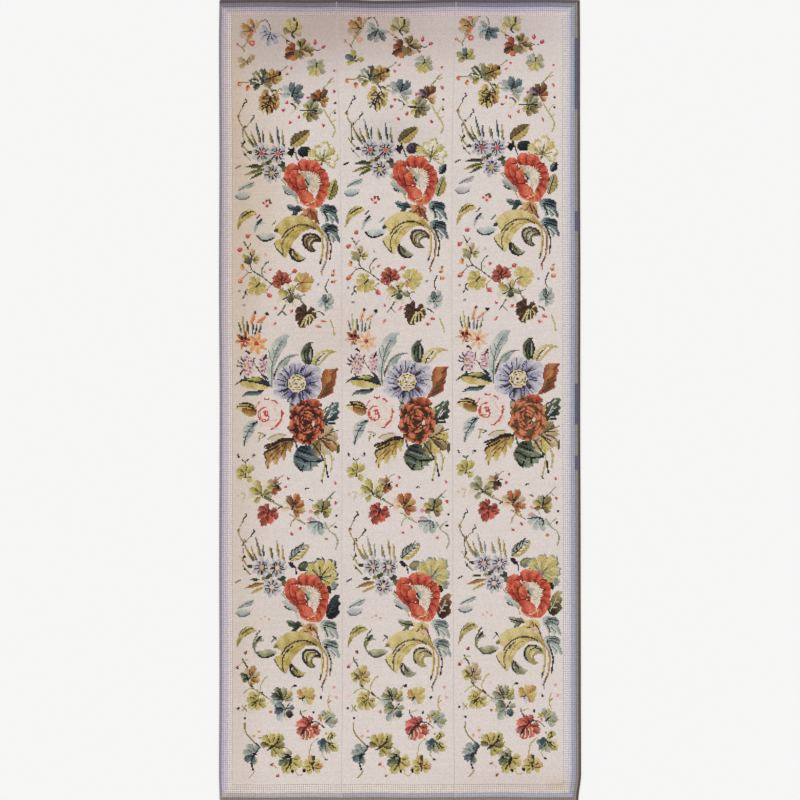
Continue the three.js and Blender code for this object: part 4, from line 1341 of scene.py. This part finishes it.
def bottomLeaves():
    stems(("lime1", 11, 271,962, 272,1010, 294,1058, 320,1084, 346,1112, 384,1148), ("plum0", 13, 356,1118,
        388,1148), ("sage1", 8, 382,1076, 406,1078, 410,1110, 396,1140))
    vineLeaf(480, 1142, 42, 120, "olive lime scroll lime olive lime lime", "plum0", (290, 0.18),
        (0.35, 0.9), (-0.25, 0.1, 10))
    stem("plum0", 13, 540,1064, 532,1096, 516,1122, 484,1150, 452,1170)
    tealLeaf = pick("teal teal mist mist mist", "teal teal mist mist mist", "teal teal mist mist teal")
    vineLeaf(350, 1202, 280, 100, tealLeaf, "teal0", (230, 0.26), (0.3, 0.8), (-0.2, 0.2, 11))
    stems(("navy0", 11, 384,1154, 366,1182, 344,1206, 322,1226), ("bottle0", 14, 320,1276, 328,1296,
        334,1324), ("lime2", 9, 358,1236, 366,1262, 344,1290), ("scroll1", 10, 346,1334, 334,1360,
        308,1386))
    vineLeaf(632, 1246, 205, 116, "lime scroll scroll lime bottle sage sage", "bottle0", (325, 0.26),
        (0.45, 0.95), (-0.12, 0.3, 12))
    strands("navy0", 12, (634,1224, 600,1226, 566,1232), (640,1236, 636,1270, 612,1300, 594,1330),
        (616,1210, 590,1204))
    patch("bottle0", 634,1330, 654,1326, 656,1348, 638,1350)
    stem("scroll2", 9, 672,1340, 684,1366, 712,1370, 722,1356)
    vineLeaf(806, 1308, 350, 96, "lime scroll scroll amber scroll amber scroll", "bottle0", (318, 0.3),
        (0.52, 0.98), (-0.3, 0.4, 11))
    patch("bottle1", 796,1222, 816,1214, 824,1244, 806,1252)
    patch("navy0", 724,1322, 744,1320, 748,1342, 730,1346)
    vineLeaf(912, 1102, 128, 108, "cream lime cream lime sage teal teal", "bottle0", (300, 0.28),
        (0.42, 0.98), (-0.1, 0.85, 11))
    patch("teal1", 862,1104, 876,1082, 906,1084, 910,1112, 884,1130, 866,1124)
    stems(("bottle1", 12, 948,1040, 956,1060, 944,1080), ("lime2", 8, 880,1170, 878,1210, 894,1232),
        ("lime2", 9, 844,1078, 812,1106, 790,1134, 780,1180, 770,1236), ("lime2", 9, 578,1144, 612,1166,
        642,1190))
    for x, y in ((484, 1282), (530, 1372)):
        bud(x, y, 34, 24, 60, "salmon", "plum0")
    stems(("amber3", 9, 500,1294, 522,1314), ("plum0", 12, 900,1242, 918,1248))
    spots(22, "orange2", 340,1062, 382,1026)
    spot(906, 1042, 34, "cream3")
    spot(908, 1044, 16, "amber2")


def firstMiddle():
    # Small things between the first daisies and the first scroll
    ghostLeaves(284, 1462, 262, 1538)
    for x, y, shade in ((418, 1596, "red1"), (442, 1580, "red0"), (456, 1602, "pink2"),
            (472, 1592, "brick1"), (446, 1618, "salmon1"), (464, 1574, "bottle2"), (434, 1604, "pink2")):
        spot(x, y, 22, shade)
    spot(448, 1596, 14, "cream3")


def stitchAll():
    # How far down each group of motifs has its own origin
    for down, motifs, *second in (
            (0, topLeaves), (0, vineAndDaisies, False), (0, besideTheDaisies, False), (0, firstMiddle),
            (1568, scrolls, False), (0, peony, False), (1568, lowerVines), (1568, lilies), (1568, anemone),
            (3136, roseAndDahlia), (3136, middleVines), (3242, vineAndDaisies, True),
            (3136, besideTheDaisies, True), (4704, secondMiddle), (4822, scrolls, True),
            (3244, peony, True), (4704, secondLowerVines), (4704, bottomLeaves)):
        with moved(down=down):
            motifs(*second)


charts = []
for number, columns in enumerate(rugForm["columns"].values()):
    newChart(number, columns)
    stitchAll()
    groundAndTints()
    border(columns)
    charts.append(dict(chart))
print("charts")


stripForm = {
    # How the edge turns under: drawn in (share of the hem round) and height (0 underside, 1 face)
    "hemRings": [(0.30, 0.92), (0.0, 0.72), (0.0, 0.28), (0.30, 0.08), (1.0, 0.0)],
    # Painted shade on the turned edge: its wool is darker with every step down towards the floor
    "hemPaintedShade": 0.12,  # darker with every step down the edge
    "unevenness": 0.00022,  # metres that the corners of stitches differ in height
    "backing": (196, 182, 160),
    "backingStitch": 0.005,
}

# Where the strip lies on its bake map, in metres of a square of this span: the face in three lengths side
# by side, and the underside at a smaller scale above them
bakeForm = {
    "span": 1.80,
    "margin": 0.012,
    "lengthEvery": 0.598,
    "stitchWide": 0.0050 * 0.93,
    "underFrom": (0.03, 1.36),
    "underScale": 0.45,
}


def outlineCells(columns, rows):
    # The outline of the stitch grid, counter-clockwise seen from above
    left = [(0, row) for row in range(rows)]
    bottom = [(column, rows) for column in range(columns)]
    right = [(columns, row) for row in range(rows, 0, -1)]
    top = [(column, 0) for column in range(columns, 0, -1)]
    return np.array(left + bottom + right + top)


def stripPoints(strip, columns, outline):
    # The corners of the stitches, then the rings of the turned edge. Also which points make each ring.
    rows, thickness, hem = rugForm["rows"], rugForm["thickness"], rugForm["hemRound"]
    shareAcross, shareDown = np.meshgrid(np.linspace(0, 1, columns + 1), np.linspace(0, 1, rows + 1))
    across, down = planPoint(strip, shareAcross, shareDown, hem)
    random = np.random.default_rng(planForm["seed"] + 10 + strip)
    uneven = stripForm["unevenness"] * (random.random(across.shape) - 0.5)
    height = thickness + puckerRise(across, down) + uneven * ((shareDown > 0) & (shareDown < 1))
    points = [np.stack([across, rugForm["length"] / 2 - down, height], axis=-1).reshape(-1, 3)]
    rings = [outline[:, 1] * (columns + 1) + outline[:, 0]]
    offset = len(points[0])
    ringShare = outline / np.array([columns, rows])
    for inward, high in stripForm["hemRings"]:
        across, down = planPoint(strip, ringShare[:, 0], ringShare[:, 1], hem * inward)
        height = thickness * high + puckerRise(across, down) * (high > 0.5)
        points.append(np.stack([across, rugForm["length"] / 2 - down, height], axis=-1))
        rings.append(offset + np.arange(len(outline)))
        offset += len(outline)
    return np.vstack(points), rings


def stripFaces(columns, outline, points, rings):
    # Corner by corner: one quad to a stitch, then the turned edge, then the underside. Each corner has its
    # point, its wool and its place on the stitch grid.
    rows = rugForm["rows"]
    row, column = np.meshgrid(np.arange(rows), np.arange(columns), indexing="ij")
    first = (row * (columns + 1) + column).reshape(-1)
    quads = np.stack([first, first + columns + 1, first + columns + 2, first + 1], axis=-1)
    corners, sizes = [quads.reshape(-1)], [np.full(len(quads), 4)]
    wool = [np.repeat(chart["wool"].reshape(-1, 3), 4, axis=0)]
    grid = [np.stack([
        np.stack([column, column, column + 1, column + 1], axis=-1).reshape(-1),
        np.stack([row, row + 1, row + 1, row], axis=-1).reshape(-1)], axis=-1).astype(float)]

    # The stitch next to the edge carries on round it, darkened as painted shade with every ring down
    nextOn = np.roll(outline, -1, axis=0)
    nearCell = np.clip(np.minimum(outline, nextOn), 0, [columns - 1, rows - 1])
    nearWool = chart["wool"][nearCell[:, 1], nearCell[:, 0]]
    outwards = np.zeros(outline.shape)
    for axis, line, way in ((0, 0, (-1, 0)), (0, columns, (1, 0)), (1, rows, (0, 1)), (1, 0, (0, -1))):
        outwards[(outline[:, axis] == line) & (nextOn[:, axis] == line)] = way
    steps = len(rings) - 1
    for step, (upper, lower) in enumerate(zip(rings[:-1], rings[1:])):
        quads = np.stack([upper, lower, np.roll(lower, -1), np.roll(upper, -1)], axis=-1)
        corners.append(quads.reshape(-1))
        sizes.append(np.full(len(quads), 4))
        # Painted shade: each ring further down the turned edge is darker
        wool.append(np.repeat(nearWool * (1 - stripForm["hemPaintedShade"] * step), 4, axis=0))
        here, there = outwards * (step / steps), outwards * ((step + 1) / steps)
        quadGrid = [outline + here, outline + there, nextOn + there, nextOn + here]
        grid.append(np.stack(quadGrid, axis=1).reshape(-1, 2))

    # The underside is flat, so one face to a row is enough
    low = rings[-1]
    leftDown = low[:rows + 1]
    rightDown = low[rows + columns:2 * rows + columns + 1][::-1]
    bottomRow = low[rows:rows + columns + 1]
    topRow = np.concatenate([low[2 * rows + columns:], low[:1]])[::-1]
    under = list(np.stack([leftDown[:-1], rightDown[:-1], rightDown[1:], leftDown[1:]], axis=-1))
    under[0] = [*topRow, rightDown[1], leftDown[1]]
    under[-1] = [leftDown[rows - 1], rightDown[rows - 1], *bottomRow[::-1]]
    for face in under:
        corners.append(np.array(face))
        sizes.append(np.array([len(face)]))
        wool.append(np.tile(np.array(stripForm["backing"], float), (len(face), 1)))
        grid.append(points[face][:, :2] / stripForm["backingStitch"])
    return np.concatenate(corners), np.concatenate(sizes), np.vstack(wool), np.vstack(grid)


def bakePlaces(points, corners, sizes, starts, grid):
    rows = rugForm["rows"]
    third = rows // 3
    margin, underFrom, scale = bakeForm["margin"], bakeForm["underFrom"], bakeForm["underScale"]
    section = np.clip(np.minimum.reduceat(grid[:, 1], starts) // third, 0, 2)
    section = np.repeat(section, sizes)
    place = np.zeros((len(corners), 2))
    place[:, 0] = margin + section * bakeForm["lengthEvery"] + grid[:, 0] * bakeForm["stitchWide"]
    place[:, 1] = margin + (third - (grid[:, 1] - section * third)) * rugForm["length"] / rows
    under = np.repeat(np.arange(len(sizes)) >= len(sizes) - rows, sizes)
    flat = points[corners[under]]
    place[under, 0] = underFrom[0] + (rugForm["length"] / 2 - flat[:, 1]) * scale
    place[under, 1] = underFrom[1] + (flat[:, 0] - points[:, 0].min()) * scale
    return place / bakeForm["span"]


def fillLayer(data, name, values, kind=np.float32):
    data.foreach_set(name, np.asarray(values).astype(kind).reshape(-1))


def stripMesh(name, strip):
    rows, columns = rugForm["rows"], rugForm["columns"][name]
    outline = outlineCells(columns, rows)
    points, rings = stripPoints(strip, columns, outline)
    corners, sizes, wool, grid = stripFaces(columns, outline, points, rings)
    starts = np.concatenate([[0], np.cumsum(sizes)[:-1]])
    mesh = bpy.data.meshes.new(name + "_stitches")
    mesh.vertices.add(len(points))
    fillLayer(mesh.vertices, "co", points)
    mesh.loops.add(len(corners))
    fillLayer(mesh.loops, "vertex_index", corners, np.int32)
    mesh.polygons.add(len(sizes))
    fillLayer(mesh.polygons, "loop_start", starts, np.int32)
    fillLayer(mesh.polygons, "use_smooth", np.ones(len(sizes)), bool)

    colours = np.ones((len(corners), 4))
    colours[:, :3] = np.clip(wool, 0, 255) / 255
    fillLayer(mesh.color_attributes.new("woolColour", "BYTE_COLOR", "CORNER").data, "color_srgb", colours)
    fillLayer(mesh.uv_layers.new(name="stitchGrid").data, "uv", grid)
    bakeMap = bakePlaces(points, corners, sizes, starts, grid)
    fillLayer(mesh.uv_layers.new(name="OFBake").data, "uv", bakeMap)

    # A corner is open canvas where the stitch before it or after it is in the border
    openGrid = np.zeros((rows + 1, columns + 1))
    openGrid[:-1, :-1] = chart["open"]
    openGrid[1:, 1:] = np.maximum(openGrid[1:, 1:], chart["open"])
    openness = np.zeros(len(points))
    openness[:openGrid.size] = openGrid.reshape(-1)
    for ring in rings[1:-1]:
        openness[ring] = openness[rings[0]]
    fillLayer(mesh.attributes.new("canvasOpen", "FLOAT", "POINT").data, "value", openness)
    mesh.update(calc_edges=True)
    mesh.validate()
    return mesh


# Shader groups shared by the worked wool and the sewing thread

def newGroup(name, inputs, outputs):
    group = bpy.data.node_groups.new(name, "ShaderNodeTree")
    for label, kind, value in inputs:
        item = group.interface.new_socket(name=label, in_out="INPUT", socket_type=kind)
        if value is not None:
            item.default_value = value
    for label, kind in outputs:
        group.interface.new_socket(name=label, in_out="OUTPUT", socket_type=kind)
    return group, group.nodes.new("NodeGroupInput").outputs, group.nodes.new("NodeGroupOutput").inputs


def addNode(tree, kind, inputs=(), **settings):
    # Each input is a value, or the socket that it is joined to
    node = tree.nodes.new(kind)
    for key, value in settings.items():
        setattr(node, key, value)
    for key, value in dict(inputs).items():
        if isinstance(value, bpy.types.NodeSocket):
            tree.links.new(value, node.inputs[key])
        else:
            node.inputs[key].default_value = value
    return node


def maths(operation, *values):
    # Works in the tree of the first socket among its values
    tree = next(value.id_data for value in values if isinstance(value, bpy.types.NodeSocket))
    return addNode(tree, "ShaderNodeMath", dict(enumerate(values)), operation=operation).outputs[0]


crossStitch = {
    "gapWidth": 0.14,
    "strandFall": 4.0,  # how fast a strand falls off to its sides
    "underHeight": 0.72,  # of the lower strand, where the upper one is 1
    # Painted shade in the holes between stitches and painted light on the strands' tops, multiplied into
    # the wool's colour
    "holePaintedShade": 0.812,  # of the small holes where four stitches meet
    "strandPaintedLight": 0.30,
}


def crossStitchGroup():
    # The relief of one cross stitch to a cell, its painted shade (dark holes, light strand tops), and the
    # canvas between the pairs of the open border, darkened there as painted shade
    group, source, sink = newGroup(
        "crossStitch",
        [("Grid", "NodeSocketVector", None), ("Openness", "NodeSocketFloat", 0.0),
         ("Gap Width", "NodeSocketFloat", crossStitch["gapWidth"])],
        [("Height", "NodeSocketFloat"), ("Shade", "NodeSocketFloat"), ("Gap", "NodeSocketFloat")])
    parts = addNode(group, "ShaderNodeSeparateXYZ", {0: source["Grid"]}).outputs
    cellX, cellY = maths("FRACT", parts[0]), maths("FRACT", parts[1])
    upper = maths("SUBTRACT", maths("ADD", cellX, cellY), 1.0)
    under = maths("SUBTRACT", cellX, cellY)
    heights = []
    for top, side in ((1.0, upper), (crossStitch["underHeight"], under)):
        fall = maths("MULTIPLY", maths("POWER", maths("ABSOLUTE", side), 2.0), crossStitch["strandFall"])
        heights.append(maths("SUBTRACT", top, fall))
    strand = maths("MAXIMUM", maths("MAXIMUM", *heights), 0.0)
    # Painted shade and light: darker in the holes where stitches meet, lighter on the tops of the strands
    shade = maths("ADD", crossStitch["holePaintedShade"], maths("MULTIPLY", strand, crossStitch["strandPaintedLight"]))
    gaps = []
    for part in (parts[0], parts[1]):
        pair = maths("FRACT", maths("MULTIPLY", part, 0.5))
        toLine = maths("MINIMUM", pair, maths("SUBTRACT", 1.0, pair))
        gaps.append(maths("LESS_THAN", toLine, maths("MULTIPLY", source["Gap Width"], 0.5)))
    gap = maths("MULTIPLY", maths("MAXIMUM", *gaps), source["Openness"])
    height = maths("MULTIPLY", strand, maths("SUBTRACT", 1.0, gap))
    for label, value in (("Height", height), ("Shade", shade), ("Gap", gap)):
        group.links.new(value, sink[label])
    return group


def woolFibreGroup():
    # Fine fibre: a small unevenness of colour and height; the colour is also multiplied by Shade, the
    # painted shade of the stitch relief
    group, source, sink = newGroup(
        "woolFibre",
        [("Fibre Scale", "NodeSocketFloat", 900.0), ("Colour", "NodeSocketColor", (1, 1, 1, 1)),
         ("Amount", "NodeSocketFloat", 0.15), ("Shade", "NodeSocketFloat", 1.0)],
        [("Colour", "NodeSocketColor"), ("Height", "NodeSocketFloat")])
    place = addNode(group, "ShaderNodeTexCoord").outputs["Object"]
    noise = addNode(group, "ShaderNodeTexNoise", {
        "Vector": place, "Scale": source["Fibre Scale"], "Detail": 2.0}).outputs[0]
    factor = maths("ADD", 1.0, maths("MULTIPLY", maths("SUBTRACT", noise, 0.5), source["Amount"]))
    factor = maths("MULTIPLY", factor, source["Shade"])
    grey = addNode(group, "ShaderNodeCombineXYZ", {0: factor, 1: factor, 2: factor}).outputs[0]
    colour = addNode(group, "ShaderNodeVectorMath", {0: source["Colour"], 1: grey}, operation="MULTIPLY")
    group.links.new(colour.outputs[0], sink["Colour"])
    group.links.new(noise, sink["Height"])
    return group


def newMaterial(name, roughness, specular):
    material = bpy.data.materials.new(name)
    material.use_nodes = True
    shader = material.node_tree.nodes["Principled BSDF"].inputs
    shader["Roughness"].default_value = roughness
    shader["Specular IOR Level"].default_value = specular
    return material, material.node_tree, shader


stitchGroup = crossStitchGroup()
fibreGroup = woolFibreGroup()

workedWool = {
    "roughness": 0.92,
    "specular": 0.15,
    "sheen": 0.08,
    "stitchRelief": 0.0012,
    "fibreRelief": 0.00012,
    "fibreAmount": 0.22,
    # Painted shade in the gaps of the open border, where the canvas shows between the stitch pairs
    "gapShade": (0.42, 0.40, 0.41, 1),
}


def workedWoolMaterial():
    material, tree, shader = newMaterial("worked_wool", workedWool["roughness"], workedWool["specular"])
    shader["Sheen Weight"].default_value = workedWool["sheen"]
    yarn = addNode(tree, "ShaderNodeAttribute", attribute_name="woolColour").outputs["Color"]
    stitch = addNode(tree, "ShaderNodeGroup", node_tree=stitchGroup)
    openness = addNode(tree, "ShaderNodeAttribute", attribute_name="canvasOpen").outputs["Fac"]
    tree.links.new(openness, stitch.inputs["Openness"])
    gridMap = addNode(tree, "ShaderNodeUVMap", uv_map="stitchGrid").outputs[0]
    tree.links.new(gridMap, stitch.inputs["Grid"])
    fibre = addNode(tree, "ShaderNodeGroup", node_tree=fibreGroup)
    fibre.inputs["Amount"].default_value = workedWool["fibreAmount"]
    tree.links.new(yarn, fibre.inputs["Colour"])
    # The painted shade of the stitch relief darkens the wool's colour in the fibre group
    tree.links.new(stitch.outputs["Shade"], fibre.inputs["Shade"])
    # Where the canvas shows in the border, the wool is darkened as painted shade
    canvas = addNode(tree, "ShaderNodeMix", data_type="RGBA", blend_type="MULTIPLY")
    tree.links.new(stitch.outputs["Gap"], canvas.inputs[0])
    tree.links.new(fibre.outputs["Colour"], canvas.inputs[6])
    canvas.inputs[7].default_value = workedWool["gapShade"]
    tree.links.new(canvas.outputs[2], shader["Base Color"])
    stitchBump = addNode(tree, "ShaderNodeBump", {
        "Height": stitch.outputs["Height"], "Distance": workedWool["stitchRelief"]})
    fibreBump = addNode(tree, "ShaderNodeBump", {
        "Height": fibre.outputs["Height"], "Distance": workedWool["fibreRelief"],
        "Normal": stitchBump.outputs[0]})
    tree.links.new(fibreBump.outputs[0], shader["Normal"])
    return material


wool = workedWoolMaterial()
for number, name in enumerate(rugForm["columns"]):
    chart = charts[number]  # the strip in hand, as its mesh reads it
    strip = bpy.data.objects.new("worked_" + name, stripMesh(name, number))
    scene.collection.objects.link(strip)
    strip.data.materials.append(wool)
    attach(strip, "root")
    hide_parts(name)
    print("strip", name)

# The whip stitches that join the strips, in metres
seamForm = {
    "stitchEvery": 0.0053,
    "endMargin": 0.012,
    "wander": 0.0006,
    "threadWide": 0.0030,
    "flatness": 0.55,
    "sides": 6,
    "reach": 0.0046,
    "slant": 0.0012,
    "dip": 0.0007,  # how far the ends go down
    "thinEnd": 0.45,
    "roughness": 0.9,
    "specular": 0.15,
    "fibreRelief": 0.0001,
    "fibreAmount": 0.3,
    "yarn": (0.72, 0.64, 0.58, 1),
}


def seamMesh(number):
    # Small slanting threads laid over the seam, each a low rounded bar
    random = np.random.default_rng(planForm["seed"] + 30 + number)
    margin, sides = seamForm["endMargin"], seamForm["sides"]
    count = int(rugForm["length"] / seamForm["stitchEvery"])
    points, faces = [], []
    for middle in (np.arange(count) + 0.5) / count * (rugForm["length"] - 2 * margin) + margin:
        middle = middle + seamForm["wander"] * (random.random() - 0.5)
        seam = float(longLine(number, 1, middle))
        reach = seamForm["reach"] * (0.85 + 0.3 * random.random())
        base = len(points)
        for share in (-1.0, -0.72, 0.0, 0.72, 1.0):
            across = seam + share * reach / 2
            along = middle + share * seamForm["slant"]
            top = rugForm["thickness"] + float(puckerRise(np.array(across), np.array(along)))
            drop = seamForm["dip"] * abs(share) ** 3
            thick = seamForm["threadWide"] / 2 * (seamForm["thinEnd"] if abs(share) == 1 else 1.0)
            for side in range(sides):
                angle = 2 * math.pi * side / sides
                points.append((
                    across, rugForm["length"] / 2 - along + thick * math.cos(angle),
                    top - drop + thick * seamForm["flatness"] * math.sin(angle)))
        for ring in range(base, base + 4 * sides, sides):
            for side in range(sides):
                a, b = ring + side, ring + (side + 1) % sides
                faces.append((a, b, b + sides, a + sides))
        faces.append(tuple(base + side for side in reversed(range(sides))))
        faces.append(tuple(base + 4 * sides + side for side in range(sides)))
    mesh = bpy.data.meshes.new("seam_threads")
    mesh.from_pydata(points, [], faces)
    fillLayer(mesh.polygons, "use_smooth", np.ones(len(faces)), bool)
    mesh.update()
    return mesh


def seamThreadMaterial():
    material, tree, shader = newMaterial("seam_thread", seamForm["roughness"], seamForm["specular"])
    fibre = addNode(tree, "ShaderNodeGroup", node_tree=fibreGroup)
    fibre.inputs["Colour"].default_value = seamForm["yarn"]
    fibre.inputs["Amount"].default_value = seamForm["fibreAmount"]
    tree.links.new(fibre.outputs["Colour"], shader["Base Color"])
    bump = addNode(tree, "ShaderNodeBump", {
        "Height": fibre.outputs["Height"], "Distance": seamForm["fibreRelief"]})
    tree.links.new(bump.outputs[0], shader["Normal"])
    return material


thread = seamThreadMaterial()
for number, name in enumerate(("seam_first", "seam_second")):
    seam = bpy.data.objects.new(name, seamMesh(number))
    scene.collection.objects.link(seam)
    seam.data.materials.append(thread)
    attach(seam, "root")
print("seams")

# Floor, lights and camera
studio = {
    "floorSize": 12.0,
    "floorColour": (0.93, 0.93, 0.925, 1),
    "floorRoughness": 0.9,
    "floorSpecular": 0.1,
    "skyStrength": 0.62,
    "keyStrength": 1.45,
    "keyDirection": (-0.55, 0.45, 1.0),
    "keySoftness": 22,
    "lens": 85,
    "crop": 0.998,  # the photo is cropped just inside the two ends
}

floorMesh = bpy.data.meshes.new("floor")
half = studio["floorSize"] / 2
floorCorners = [(-half, -half, 0), (half, -half, 0), (half, half, 0), (-half, half, 0)]
floorMesh.from_pydata(floorCorners, [], [(0, 1, 2, 3)])
floor = bpy.data.objects.new("floor", floorMesh)
scene.collection.objects.link(floor)
paint, tree, shader = newMaterial("pale_floor", studio["floorRoughness"], studio["floorSpecular"])
shader["Base Color"].default_value = studio["floorColour"]
floor.data.materials.append(paint)

world = bpy.data.worlds.new("studio")
scene.world = world
world.use_nodes = True
world.node_tree.nodes["Background"].inputs["Color"].default_value = (1, 1, 1, 1)
world.node_tree.nodes["Background"].inputs["Strength"].default_value = studio["skyStrength"]

keyLight = bpy.data.lights.new("key", "SUN")
keyLight.energy = studio["keyStrength"]
keyLight.angle = math.radians(studio["keySoftness"])
key = bpy.data.objects.new("key", keyLight)
toX, toY, toZ = studio["keyDirection"]
key.rotation_euler = (math.atan2(math.hypot(toX, toY), toZ), 0, math.atan2(toY, toX) + math.pi / 2)
scene.collection.objects.link(key)

camera = bpy.data.objects.new("camera", bpy.data.cameras.new("camera"))
camera.data.lens = studio["lens"]
camera.location = (0, 0, studio["crop"] * rugForm["length"] * studio["lens"] / camera.data.sensor_width)
scene.collection.objects.link(camera)
scene.camera = camera
scene.view_settings.view_transform = "Standard"
print("studio")
